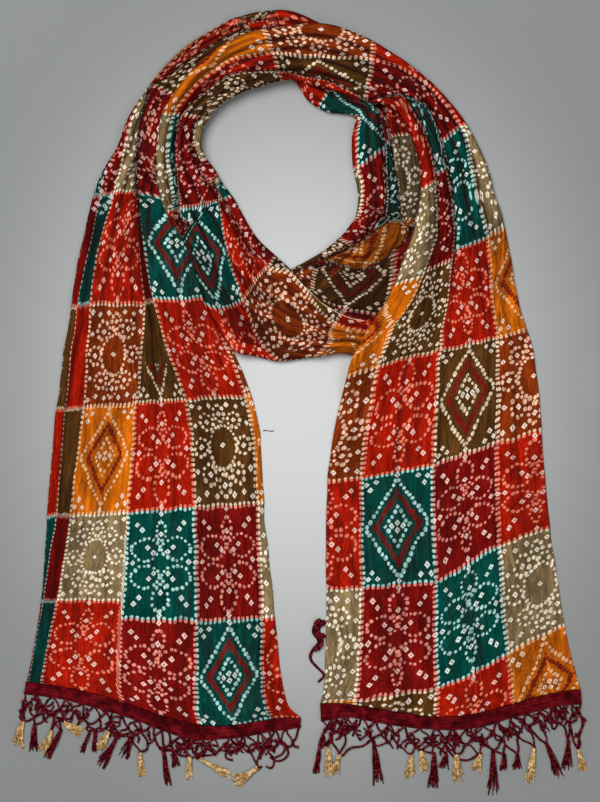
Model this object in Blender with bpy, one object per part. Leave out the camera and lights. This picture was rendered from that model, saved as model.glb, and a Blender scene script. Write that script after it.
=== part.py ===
"""A crinkled tie-dyed dupatta stole, laid flat on a table as a once-round neck wrap with both ends hanging down.

One length of cloth is laid stretch by stretch: up the left end, round the back of the neck, down the right side of
the neck hole, back across the front, up the left side, round the back again on top of itself, and down the right
end. Each stretch is a closed solid lofted through the sections of its table, and lies on the stretches under it.
A netted fringe with tassels is sewn to each hem.
"""

import math
import random

import bmesh
import bpy
import numpy as np
from mathutils import Vector
from mathutils.bvhtree import BVHTree

for stale in list(bpy.data.objects):
    bpy.data.objects.remove(stale, do_unlink=True)

# Driving sizes, in metres.
SQUARE = 0.090  # side of one dyed square of the cloth, as it lies
PLAN = SQUARE / 100.0  # the plan's unit: a hundredth of a square
PLAN_MIDDLE = (300.0, 398.5)  # the plan point that lies over the origin; plan x runs right and plan y down
MM = 0.001
SEAM_GAP = 0.0003  # between pieces that are one cloth, or are sewn together
LIE_GAP = 0.0006  # between a stretch and the one it lies on

# The height grid that finds what a stretch lies on.
GRID_CELL = 0.003
GRID_HALF = (0.285, 0.375)
DRAPE_SLOPE = 0.42  # how steeply the cloth comes down beside what it lies on

# The fringe: a heading strip, a knotted net of diamonds, and tassels.
STRIP_DEPTH = 15.0  # plan units
NET_COLUMNS = 16
LEFT_NET_ROW = 8.0  # plan units from one row of knots to the next
RIGHT_NET_ROW = 9.2
CORD_HALF = 0.75  # half the side of a knot, in plan units
TASSEL_LOCKS = 4
HEAD_HALF = 1.9  # half the width of a tassel's head
HEAD_LENGTH = 5.0
LOCK_WIDTH = 1.7  # at a lock's tip
LOCK_PITCH = 2.4

# Each table of sections runs the way the cloth runs. Its columns are, in plan units, the left edge x and y, the
# right edge x and y, and how far the section's middle sags down the plan; then the crest and the edge thickness,
# in millimetres.
LEFT_TAIL_SECTIONS = (
    (26, 681, 301, 718, 20, 3.0, 2.2),
    (29, 668, 285, 698, 13, 3.0, 2.2),
    (37, 630, 276, 630, 3, 3.2, 2.2),
    (44, 573, 270, 568, 0, 3.4, 2.2),
    (47, 517, 264, 510, 0, 3.4, 2.2),
    (52, 458, 261, 450, 0, 3.6, 2.4),
    (57, 405, 254, 403, 0, 3.8, 2.4),
    (63, 360, 236, 358, 0, 4.2, 2.6),
    (70, 315, 219, 315, 0, 5.0, 2.8),
    (78, 265, 206, 268, 0, 6.0, 3.2),
    (88, 218, 197, 225, 0, 7.2, 3.8),
    (100, 179, 191, 190, 0, 8.4, 4.4),
    (116.8, 146.4, 187, 158.3, 0, 9.5, 5.0),
)
BACK_UNDER_SECTIONS = (
    (117.1, 146, 187.1, 157.9, 0, 9.5, 5.0),
    (132, 111, 193, 134, 0, 10.0, 5.4),
    (152, 82, 205, 114, 0, 10.5, 5.6),
    (177, 54, 220, 100, 0, 11.0, 5.8),
    (206, 33, 240, 90, 0, 11.0, 5.8),
    (240, 16, 264, 83, 0, 11.0, 5.8),
    (282, 10.5, 290, 79, 0, 11.0, 5.8),
    (321, 24, 308, 101, 0, 11.0, 5.8),
    (354, 41, 324, 112, 0, 11.0, 5.8),
    (384, 62, 341, 114, 0, 11.0, 5.8),
)
RIGHT_INNER_SECTIONS = (
    (384.4, 62.2, 341.4, 114.2, 0, 11.0, 5.8),
    (408, 86, 355.5, 118.5, 0, 11.0, 5.8),
    (424, 118, 351, 140, 0, 11.0, 5.8),
    (431, 158, 352, 167, 0, 10.5, 5.6),
    (432, 200, 358, 192, 0, 10.5, 5.6),
    (426, 240, 357, 211, 0, 10.0, 5.4),
    (410, 278, 350, 225, 0, 10.0, 5.4),
    (390, 307, 338, 240, 0, 9.5, 5.2),
    (368, 326, 322, 252, 0, 9.0, 5.0),
    (344, 338, 304, 262, 0, 8.0, 4.4),
    (322, 342, 288, 270, 0, 6.0, 3.4),
)
FRONT_CROSS_SECTIONS = (
    (368, 368, 386, 338, 0, 5.5, 3.4),
    (348, 354, 364, 336, 0, 7.0, 4.0),
    (323, 356, 345, 322, 0, 9.0, 5.0),
    (300, 360, 326, 303, 0, 10.0, 5.2),
    (278, 361, 308, 287, 0, 10.0, 5.2),
    (255, 357, 290, 270, 0, 10.0, 5.2),
    (233, 350, 274, 255, 0, 10.0, 5.2),
    (216, 325, 260, 242, 0, 10.0, 5.2),
    (204, 300, 249, 226, 0, 10.0, 5.2),
    (195, 270, 239, 208, 0, 10.0, 5.2),
    (183, 242, 228, 190, 0, 10.0, 5.2),
    (168, 216, 217, 174, 0, 10.0, 5.2),
    (159, 190, 208, 160, 0, 10.0, 5.2),
    (157, 160, 202, 146, 0, 10.0, 5.2),
    (159.9, 130.4, 204.9, 130.4, 0, 10.0, 5.2),
)
OVER_WRAP_SECTIONS = (
    (160, 130, 205, 130, 0, 10.0, 5.2),
    (164, 112, 213, 116, 0, 10.5, 5.4),
    (177, 92, 224, 104, 0, 11.0, 5.6),
    (197, 67, 240, 96, 0, 11.5, 5.8),
    (223, 46, 258, 89, 0, 12.0, 6.0),
    (255, 33, 276, 84, 0, 12.0, 6.0),
    (288, 28, 291, 83, 0, 12.0, 6.0),
    (320, 25, 307, 87, 0, 12.0, 6.0),
    (350, 33, 324, 91, 0, 12.0, 6.0),
    (380, 47, 344, 97, 0, 12.0, 6.0),
    (410, 67, 368, 103, 0, 11.5, 5.8),
    (438, 91, 392, 110, 0, 11.0, 5.6),
    (462, 118, 407, 129, 0, 10.0, 5.2),
    (479, 147, 415, 152, 0, 9.5, 5.0),
    (489, 172, 420, 175, 0, 9.0, 4.6),
    (495, 195, 420, 196, 0, 8.5, 4.2),
)
RIGHT_TAIL_SECTIONS = (
    (495.1, 195.4, 420, 196.4, 0, 8.5, 4.2),
    (502, 220, 415, 221, 0, 7.6, 3.8),
    (508, 246, 408, 246, 0, 6.8, 3.4),
    (514, 275, 398, 275, 0, 6.0, 3.0),
    (520, 307, 386, 302, 0, 5.2, 2.8),
    (529, 337, 367, 330, 0, 4.6, 2.6),
    (535, 366, 353, 357, 0, 4.2, 2.6),
    (539, 398, 343, 391, 0, 3.8, 2.4),
    (542, 437, 333, 433, 0, 3.6, 2.4),
    (546, 482, 328, 475, 0, 3.4, 2.2),
    (549, 525, 325.5, 520, 0, 3.4, 2.2),
    (556, 572, 325.5, 574, 0, 3.2, 2.2),
    (566, 630, 326.5, 635, 3, 3.0, 2.2),
    (576, 675, 323, 688, 13, 3.0, 2.2),
    (580.5, 689, 320, 703, 20, 3.0, 2.2),
)

# Each table of folds has a row for each lengthwise valley: where it lies across the stretch at the stretch's start,
# middle and end, from 0 at the left edge to 1 at the right edge, and its depth in millimetres.
LEFT_TAIL_FOLDS = (
    (0.07, 0.05, 0.16, 0.9),
    (0.18, 0.15, 0.30, 1.1),
    (0.29, 0.27, 0.42, 0.8),
    (0.37, 0.40, 0.55, 1.3),
    (0.48, 0.50, 0.65, 0.9),
    (0.58, 0.60, 0.74, 1.2),
    (0.70, 0.71, 0.82, 1.0),
    (0.82, 0.83, 0.90, 1.0),
)
BACK_UNDER_FOLDS = (
    (0.16, 0.13, 0.18, 2.6),
    (0.34, 0.30, 0.36, 3.2),
    (0.58, 0.54, 0.58, 2.4),
    (0.80, 0.78, 0.78, 2.2),
)
RIGHT_INNER_FOLDS = (
    (0.18, 0.20, 0.20, 2.4),
    (0.36, 0.40, 0.36, 2.6),
    (0.54, 0.56, 0.58, 3.4),
    (0.74, 0.76, 0.80, 3.0),
)
FRONT_CROSS_FOLDS = (
    (0.20, 0.12, 0.24, 2.2),
    (0.42, 0.30, 0.44, 3.6),
    (0.60, 0.58, 0.62, 2.6),
    (0.80, 0.80, 0.82, 2.4),
)
OVER_WRAP_FOLDS = (
    (0.28, 0.22, 0.16, 2.6),
    (0.45, 0.42, 0.38, 3.8),
    (0.62, 0.60, 0.58, 2.8),
    (0.82, 0.80, 0.78, 3.2),
)
RIGHT_TAIL_FOLDS = (
    (0.10, 0.13, 0.14, 0.9),
    (0.24, 0.22, 0.25, 1.2),
    (0.36, 0.34, 0.36, 0.8),
    (0.48, 0.45, 0.46, 1.3),
    (0.60, 0.56, 0.56, 0.9),
    (0.70, 0.68, 0.66, 1.2),
    (0.80, 0.78, 0.77, 1.0),
    (0.90, 0.89, 0.88, 1.0),
)

# Each table of tassels runs from the left end of the net: how far the tip leans right of the head and how long the
# tassel is, in plan units, and its yarn.
LEFT_TASSELS = (
    (-11, 24, "gold"),
    (-6, 22, "maroon"),
    (-7, 23, "gold"),
    (-8, 24, "maroon"),
    (-4, 20, "gold"),
    (-7, 24, "maroon"),
    (-2, 27, "gold"),
    (-5, 22, "maroon"),
    (2, 26, "maroon"),
    (-4, 24, "gold"),
    (-5, 22, "maroon"),
    (-3, 23, "gold"),
    (-6, 20, "maroon"),
    (-4, 22, "gold"),
    (-7, 19, "gold"),
    (-5, 20, "maroon"),
)
RIGHT_TASSELS = (
    (-4, 27, "maroon"),
    (2, 26, "gold"),
    (-3, 24, "gold"),
    (4, 31, "maroon"),
    (-2, 24, "maroon"),
    (2, 26, "gold"),
    (4, 28, "maroon"),
    (-2, 24, "gold"),
    (3, 27, "gold"),
    (-4, 26, "maroon"),
    (2, 34, "maroon"),
    (-3, 26, "maroon"),
    (-4, 30, "gold"),
    (5, 28, "maroon"),
    (-2, 26, "maroon"),
    (4, 24, "gold"),
)

# The corner of the right hem that is turned under beside the tail: a scrap of heading strip, and a run of cord.
CORNER_STRIP = ((325.6, 621), (318, 619), (314, 628), (316.5, 637), (320, 641), (325.8, 640))
CORNER_CORD = ((320, 641), (311.5, 656), (321, 673), (317, 681))


def place(x, y, z=0.0):
    """The world point over a plan point."""
    return Vector(((x - PLAN_MIDDLE[0]) * PLAN, (PLAN_MIDDLE[1] - y) * PLAN, z))


def linear(hex_colour):
    """A colour's linear red, green and blue from its sRGB hex value."""
    levels = [int(hex_colour[i : i + 2], 16) / 255.0 for i in (0, 2, 4)]
    return [c / 12.92 if c <= 0.04045 else ((c + 0.055) / 1.055) ** 2.4 for c in levels]


def fabric(name, hex_colour, roughness):
    material = bpy.data.materials.new(name)
    material.use_nodes = True
    shader = material.node_tree.nodes["Principled BSDF"]
    shader.inputs["Base Color"].default_value = (*linear(hex_colour), 1.0)
    shader.inputs["Roughness"].default_value = roughness
    shader.inputs["Metallic"].default_value = 0.0
    return material


def catmull(rows, at):
    """A smooth curve through a table's rows, read at a fractional row number."""
    last = len(rows) - 1
    i = min(int(at), last - 1)
    t = at - i
    p = [np.array(rows[min(max(k, 0), last)], float) for k in (i - 1, i, i + 1, i + 2)]
    if i == 0:
        p[0] = 2 * p[1] - p[2]
    if i == last - 1:
        p[3] = 2 * p[2] - p[1]
    slope_in = (p[2] - p[0]) / 2
    slope_out = (p[3] - p[1]) / 2
    return (
        (2 * t**3 - 3 * t**2 + 1) * p[1]
        + (t**3 - 2 * t**2 + t) * slope_in
        + (3 * t**2 - 2 * t**3) * p[2]
        + (t**3 - t**2) * slope_out
    )


def three_way(start, middle, end, t):
    """A value that runs smoothly through its start, middle and end."""
    return start * (1 - t) * (1 - 2 * t) + middle * 4 * t * (1 - t) + end * t * (2 * t - 1)


def sag_of(across, skew):
    """The shape of a section's sag, from 0 at its ends to 1 at its lowest place."""
    return math.sin(math.pi * across**skew) ** 2


def shifted(grid, columns, rows):
    """A copy of the grid moved by whole cells, with zero brought in at its edges."""
    moved = np.zeros_like(grid)
    height, width = grid.shape
    moved[max(rows, 0) : height + min(rows, 0), max(columns, 0) : width + min(columns, 0)] = grid[
        max(-rows, 0) : height + min(-rows, 0), max(-columns, 0) : width + min(-columns, 0)
    ]
    return moved


def pile_under(objects, reach):
    """A function that gives the height a stretch lies at over these objects, 0 where it reaches the table.

    The stretch clears every place within reach of a point, then comes down at the drape slope.
    """
    columns = int(2 * GRID_HALF[0] / GRID_CELL) + 1
    rows = int(2 * GRID_HALF[1] / GRID_CELL) + 1
    heights = np.zeros((rows, columns))
    down = Vector((0, 0, -1))
    for obj in objects:
        mesh = obj.data
        tree = BVHTree.FromPolygons([v.co for v in mesh.vertices], [p.vertices for p in mesh.polygons])
        for j in range(rows):
            for i in range(columns):
                above = Vector((i * GRID_CELL - GRID_HALF[0], j * GRID_CELL - GRID_HALF[1], 1.0))
                hit = tree.ray_cast(above, down)[0]
                if hit is not None:
                    heights[j, i] = max(heights[j, i], hit.z + LIE_GAP)
    cells = int(math.ceil(reach / GRID_CELL))
    lifted = heights.copy()
    for j in range(-cells, cells + 1):
        for i in range(-cells, cells + 1):
            if math.hypot(i, j) * GRID_CELL <= reach:
                lifted = np.maximum(lifted, shifted(heights, i, j))
    steps = int(lifted.max() / (DRAPE_SLOPE * GRID_CELL)) + 1
    for _ in range(steps):
        for i, j in ((1, 0), (-1, 0), (0, 1), (0, -1)):
            lifted = np.maximum(lifted, shifted(lifted, i, j) - DRAPE_SLOPE * GRID_CELL)

    def height_at(point):
        u = (point.x + GRID_HALF[0]) / GRID_CELL
        v = (point.y + GRID_HALF[1]) / GRID_CELL
        i, j = int(u), int(v)
        s, t = u - i, v - j
        return (
            lifted[j, i] * (1 - s) * (1 - t)
            + lifted[j, i + 1] * s * (1 - t)
            + lifted[j + 1, i] * (1 - s) * t
            + lifted[j + 1, i + 1] * s * t
        )

    return height_at


class Stretch:
    """One stretch of the cloth: its tables, and the closed solid lofted through its sections."""

    def __init__(self, name, sections, folds, material, crown, layers, steps, skew=1.0):
        self.name = name
        self.sections = sections
        self.folds = folds
        self.material = material
        self.crown = crown  # how flat its top is: 2 is a round back, 8 a flat panel with soft edges
        self.layers = layers  # layers of cloth that show down its long edges
        self.steps = steps  # lofted sections for each row of its table
        self.skew = skew

    def plan_point(self, at, across):
        """The plan point a fraction of the way across the section at a fractional row number."""
        left_x, left_y, right_x, right_y, sag = catmull(self.sections, at)[:5]
        x = left_x + (right_x - left_x) * across
        y = left_y + (right_y - left_y) * across + sag * sag_of(across, self.skew)
        return x, y

    def valleys(self, at):
        """Where the folds' valleys lie across this section, and how deep each one is here."""
        along = at / (len(self.sections) - 1)
        middles = [three_way(*fold[:3], along) for fold in self.folds]
        depths = [
            fold[3] * MM * (0.75 + 0.25 * math.sin(9.0 * along + 2.1 * k)) for k, fold in enumerate(self.folds)
        ]
        return middles, depths

    def ring(self, at, height_at, across_bottom):
        """The closed section in four runs: over the top from left to right, down the right edge, back, and up."""
        crest, edge = catmull(self.sections, at)[5:] * MM
        left, right = place(*self.plan_point(at, 0.0)), place(*self.plan_point(at, 1.0))
        width = (right - left).length
        middles, depths = self.valleys(at)
        stations = [0.0, *middles, 1.0]

        def on_top(across, drop):
            point = place(*self.plan_point(at, across))
            body = edge + (crest - edge) * math.sqrt(1 - abs(2 * across - 1) ** self.crown)
            point.z = height_at(point) + body - drop
            return point

        def on_edge(across, share):
            point = place(*self.plan_point(at, across))
            point.z = height_at(point) + edge * share
            return point

        def inset(distance):
            return distance / width

        # Two points lie between each pair of valleys; the outermost ones leave room for the rounded edges.
        tops = []
        drops = []
        for k, (start, end) in enumerate(zip(stations, stations[1:])):
            first = inset(edge * 0.5) if k == 0 else start
            last = 1.0 - inset(edge * 0.5) if end == 1.0 else end
            tops += [first, first + (last - first) / 3, first + (last - first) * 2 / 3]
            drops += [depths[k - 1] if k else 0.0, 0.0, 0.0]
        top = [on_top(across, drop) for across, drop in zip([*tops, last], [*drops, 0.0])]
        # The edge bulges once for each layer and pinches in between them.
        wall = []
        for k in range(2 * self.layers - 1):
            share = 1 - (k + 1) / (2 * self.layers)
            wall.append((inset(edge * 0.28) if k % 2 else 0.0, share))
        foot = inset(edge * 0.2)
        bottom = [foot + (1 - 2 * foot) * t for t in across_bottom or [0.0, *tops[1:], 1.0]]
        right_edge = [on_edge(1.0 - pull, share) for pull, share in wall]
        left_edge = [on_edge(pull, share) for pull, share in reversed(wall)]
        return top, right_edge, [on_edge(t, 0.0) for t in reversed(bottom)], left_edge

    def build(self, lies_on=(), reach=0.014, across_bottom=None):
        height_at = pile_under(lies_on, reach) if lies_on else lambda point: 0.0
        count = (len(self.sections) - 1) * self.steps
        bm = bmesh.new()
        rings = []
        for k in range(count + 1):
            runs = self.ring(k / self.steps, height_at, across_bottom)
            rings.append([[bm.verts.new(point) for point in run] for run in runs])
        for here, beyond in zip(rings, rings[1:]):
            here, beyond = sum(here, []), sum(beyond, [])
            for k in range(len(here)):
                following = (k + 1) % len(here)
                bm.faces.new((here[k], here[following], beyond[following], beyond[k]))
        for top, right_edge, bottom, left_edge in (rings[0], rings[-1]):
            if len(top) != len(bottom):
                bm.faces.new(top + right_edge + bottom + left_edge)
                continue
            # A hem that sags isn't flat, so its end is closed in strips from the top to the underside.
            under = list(reversed(bottom))
            for k in range(len(top) - 1):
                bm.faces.new((top[k], top[k + 1], under[k + 1], under[k]))
            bm.faces.new([top[-1], *right_edge, under[-1]])
            bm.faces.new([under[0], *left_edge, top[0]])
        bmesh.ops.triangulate(bm, faces=bm.faces)
        bmesh.ops.recalc_face_normals(bm, faces=bm.faces)
        if bm.calc_volume(signed=True) < 0:
            bmesh.ops.reverse_faces(bm, faces=bm.faces)
        return add_object(self.name, bm, [self.material])


def add_object(name, bm, materials):
    mesh = bpy.data.meshes.new(name)
    bm.to_mesh(mesh)
    bm.free()
    mesh.shade_smooth()
    for material in materials:
        mesh.materials.append(material)
    obj = bpy.data.objects.new(name, mesh)
    bpy.context.scene.collection.objects.link(obj)
    return obj


class Slab:
    """A flat drawing of joined faces, given a thickness: its points are plan x, plan y, underside and top in mm."""

    def __init__(self):
        self.points = []
        self.faces = []

    def point(self, x, y, low, high):
        self.points.append((x, y, low * MM, high * MM))
        return len(self.points) - 1

    def face(self, corners, slot=0):
        area = 0.0
        for a, b in zip(corners, [*corners[1:], corners[0]]):
            (ax, ay), (bx, by) = self.points[a][:2], self.points[b][:2]
            area += ax * by - bx * ay
        # Plan y runs down, so a negative area here faces up in the world.
        self.faces.append((list(corners) if area < 0 else list(reversed(corners)), slot))

    def build(self, name, materials):
        bm = bmesh.new()
        lows = [bm.verts.new(place(x, y, low)) for x, y, low, _ in self.points]
        highs = [bm.verts.new(place(x, y, high)) for x, y, _, high in self.points]
        sides = {}
        for corners, slot in self.faces:
            bm.faces.new([highs[k] for k in corners]).material_index = slot
            bm.faces.new([lows[k] for k in reversed(corners)]).material_index = slot
            for a, b in zip(corners, [*corners[1:], corners[0]]):
                sides[a, b] = slot
        for (a, b), slot in sides.items():
            if (b, a) not in sides:
                bm.faces.new((highs[b], highs[a], lows[a], lows[b])).material_index = slot
        bmesh.ops.triangulate(bm, faces=bm.faces)
        return add_object(name, bm, materials)


def fringe(name, hem, flip, net_row, tassels, seed, materials):
    """A heading strip along a hem, a net of diamonds under it and a tassel on each knot of the net's last row.

    hem gives the plan point at a fraction of the hem's length; flip is set where the hem's table runs right to left.
    """
    shake = random.Random(seed)
    slab = Slab()
    gap = SEAM_GAP / PLAN

    def under(along, depth):
        """The plan point this far below the hem."""
        t = 1 - along if flip else along
        step = -0.01 if flip else 0.01
        x, y = hem(t)
        ahead, behind = hem(min(max(t + step, 0), 1)), hem(min(max(t - step, 0), 1))
        run = (ahead[0] - behind[0], ahead[1] - behind[1])
        size = math.hypot(*run)
        return x - run[1] / size * depth, y + run[0] / size * depth

    hem_run = [hem(k / 50) for k in range(51)]
    hem_length = sum(math.dist(a, b) for a, b in zip(hem_run, hem_run[1:]))

    def knot(x, y):
        """A diamond: its up, right, down and left corners."""
        reach = CORD_HALF * math.sqrt(2)
        low, high = 0.5, 2.2
        return [
            slab.point(x, y - reach, low, high),
            slab.point(x + reach, y, low, high),
            slab.point(x, y + reach, low, high),
            slab.point(x - reach, y, low, high),
        ]

    # Two cords leave the strip at each root, one to each side of it.
    root_share = 2 * CORD_HALF / hem_length
    roots = [(i, side) for i in range(NET_COLUMNS + 1) for side in (-1, 0, 1)][1:-1]
    upper = {}
    lower = {}
    for i, side in roots:
        along = i / NET_COLUMNS + side * root_share
        upper[i, side] = slab.point(*under(along, gap), 0.0, 3.0)
        lower[i, side] = slab.point(*under(along, STRIP_DEPTH), 0.0, 2.6)
    for one, other in zip(roots, roots[1:]):
        slab.face((upper[one], upper[other], lower[other], lower[one]))

    # A row's knots, and which corners its cords leave from, by column.
    first = {}
    for i in range(NET_COLUMNS):
        x, y = under((i + 0.5) / NET_COLUMNS, STRIP_DEPTH + net_row)
        first[i] = knot(x + shake.uniform(-2, 2), y + shake.uniform(-1.5, 1.5))
        slab.face(first[i])
        up, right, down, left = first[i]
        slab.face((lower[i, 0], lower[i, 1], up, left))
        slab.face((lower[i + 1, -1], lower[i + 1, 0], right, up))
    second = {}
    for i in range(NET_COLUMNS + 1):
        x, y = under(i / NET_COLUMNS, STRIP_DEPTH + 2 * net_row)
        second[i] = knot(x + shake.uniform(-2, 2), y + shake.uniform(-1.5, 1.5))
        slab.face(second[i])
        up, right, down, left = second[i]
        if i > 0:
            slab.face((first[i - 1][1], up, left, first[i - 1][2]))
        if i < NET_COLUMNS:
            slab.face((first[i][3], first[i][2], right, up))
    for i, (lean, length, yarn) in enumerate(tassels):
        x, y = under((i + 0.5) / NET_COLUMNS, STRIP_DEPTH + 3 * net_row)
        slot = 1 if yarn == "gold" else 0
        tip = (x + lean, y + math.sqrt(length**2 - lean**2))
        run = ((tip[0] - x) / length, (tip[1] - y) / length)
        side = (run[1], -run[0])

        def beside(forward, sideways, low, high):
            px = x + run[0] * forward + side[0] * sideways
            py = y + run[1] * forward + side[1] * sideways
            return slab.point(px, py, low, high)

        up = beside(-1.2, 0.0, 0.5, 2.4)
        right = beside(1.2, HEAD_HALF, 0.5, 3.0)
        left = beside(1.2, -HEAD_HALF, 0.5, 3.0)
        slab.face((second[i][1], up, left, second[i][2]))
        slab.face((second[i + 1][3], second[i + 1][2], right, up))
        neck = HEAD_HALF * 0.85
        necks = [
            beside(HEAD_LENGTH, -neck + 2 * neck * k / TASSEL_LOCKS, 0.5, 2.6) for k in range(TASSEL_LOCKS + 1)
        ]
        slab.face((up, right, *reversed(necks), left), slot)
        for k in range(TASSEL_LOCKS):
            centre = (k - (TASSEL_LOCKS - 1) / 2) * LOCK_PITCH
            end = length - abs(centre) * 0.3 - shake.uniform(0, 2)
            tip_left = beside(end, centre - LOCK_WIDTH / 2, 0.5, 1.8)
            tip_right = beside(end, centre + LOCK_WIDTH / 2, 0.5, 1.8)
            slab.face((necks[k], necks[k + 1], tip_right, tip_left), slot)
    return slab.build(name, materials)


def fringe_corner(name, material):
    """The turned-under corner of the heading strip, with the cord that hangs from it."""
    slab = Slab()
    strip = [slab.point(x, y, 0.3, 2.4) for x, y in CORNER_STRIP]
    slab.face(strip)
    # The cord starts on the strip's edge between its fourth and fifth corners.
    previous = (strip[3], strip[4])
    for x, y in CORNER_CORD[1:]:
        following = (slab.point(x - 1.1, y + 0.4, 0.5, 2.0), slab.point(x + 1.1, y - 0.4, 0.5, 2.0))
        slab.face((previous[0], previous[1], following[1], following[0]))
        previous = following
    return slab.build(name, [material])


red = fabric("crinkled_silk_red", "B4261A", 0.62)
maroon = fabric("crinkled_silk_maroon", "7C1118", 0.62)
teal = fabric("crinkled_silk_teal", "0B5347", 0.62)
taupe = fabric("crinkled_silk_taupe", "8C775A", 0.62)
brown = fabric("crinkled_silk_brown", "8A3A12", 0.62)
olive = fabric("crinkled_silk_olive", "4A331A", 0.62)
lace = fabric("fringe_yarn_maroon", "5E0E18", 0.7)
gold = fabric("fringe_yarn_gold", "C9A66B", 0.7)

# Where the underside has its points: a tail's has as many as its top, so that it follows the hem.
RESTING = (0.0, 0.33, 0.67, 1.0)
DRAPED = (0.0, 0.12, 0.26, 0.42, 0.58, 0.74, 0.88, 1.0)

left_tail_cloth = Stretch("left_tail", LEFT_TAIL_SECTIONS, LEFT_TAIL_FOLDS, red, 8, 1, 2, skew=1.5)
left_tail = left_tail_cloth.build()

back_under = Stretch("back_under_wrap", BACK_UNDER_SECTIONS, BACK_UNDER_FOLDS, olive, 2.4, 2, 3)
back_under_wrap = back_under.build(across_bottom=RESTING)

right_inner = Stretch("right_inner_wrap", RIGHT_INNER_SECTIONS, RIGHT_INNER_FOLDS, taupe, 2.4, 2, 3)
right_inner_wrap = right_inner.build(across_bottom=RESTING)

floor_layer = [left_tail, back_under_wrap, right_inner_wrap]
front_cross_cloth = Stretch("front_cross", FRONT_CROSS_SECTIONS, FRONT_CROSS_FOLDS, brown, 2.4, 2, 2)
front_cross = front_cross_cloth.build(lies_on=floor_layer, across_bottom=DRAPED)

over_wrap_cloth = Stretch("over_wrap", OVER_WRAP_SECTIONS, OVER_WRAP_FOLDS, maroon, 2.4, 2, 2)
over_wrap = over_wrap_cloth.build(lies_on=floor_layer, across_bottom=DRAPED)

right_tail_cloth = Stretch("right_tail", RIGHT_TAIL_SECTIONS, RIGHT_TAIL_FOLDS, teal, 8, 1, 2)
right_tail = right_tail_cloth.build(lies_on=[right_inner_wrap, front_cross], reach=0.022)

fringe(
    "left_fringe",
    lambda t: left_tail_cloth.plan_point(0.0, t),
    False,
    LEFT_NET_ROW,
    LEFT_TASSELS,
    11,
    [lace, gold],
)
fringe(
    "right_fringe",
    lambda t: right_tail_cloth.plan_point(len(RIGHT_TAIL_SECTIONS) - 1.0, t),
    True,
    RIGHT_NET_ROW,
    RIGHT_TASSELS,
    23,
    [lace, gold],
)
fringe_corner("right_fringe_corner", lace)
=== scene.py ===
import math

import bmesh
import bpy
import numpy as np
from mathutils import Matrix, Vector


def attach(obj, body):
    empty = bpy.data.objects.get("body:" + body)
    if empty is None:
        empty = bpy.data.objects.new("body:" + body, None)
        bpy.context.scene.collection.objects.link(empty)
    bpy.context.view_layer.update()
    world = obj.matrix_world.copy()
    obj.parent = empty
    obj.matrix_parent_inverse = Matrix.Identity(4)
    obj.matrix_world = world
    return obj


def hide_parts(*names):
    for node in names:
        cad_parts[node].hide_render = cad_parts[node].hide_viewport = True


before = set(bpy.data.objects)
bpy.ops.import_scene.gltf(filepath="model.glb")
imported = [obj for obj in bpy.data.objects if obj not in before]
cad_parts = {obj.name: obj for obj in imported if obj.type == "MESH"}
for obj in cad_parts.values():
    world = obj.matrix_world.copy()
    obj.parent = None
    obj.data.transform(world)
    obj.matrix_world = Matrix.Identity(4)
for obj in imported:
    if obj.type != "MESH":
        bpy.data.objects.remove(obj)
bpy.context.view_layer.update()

layout = {
    "unit": 0.0009,  # metres for one plan unit, a hundredth of the length of a dyed square
    "middle": (300.0, 398.5),  # the plan point that lies over the origin; plan x runs right and plan y down
    "mm": 0.001,
    "squareWidth": 65,  # plan units across a dyed square where the cloth lies smooth
}

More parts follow.
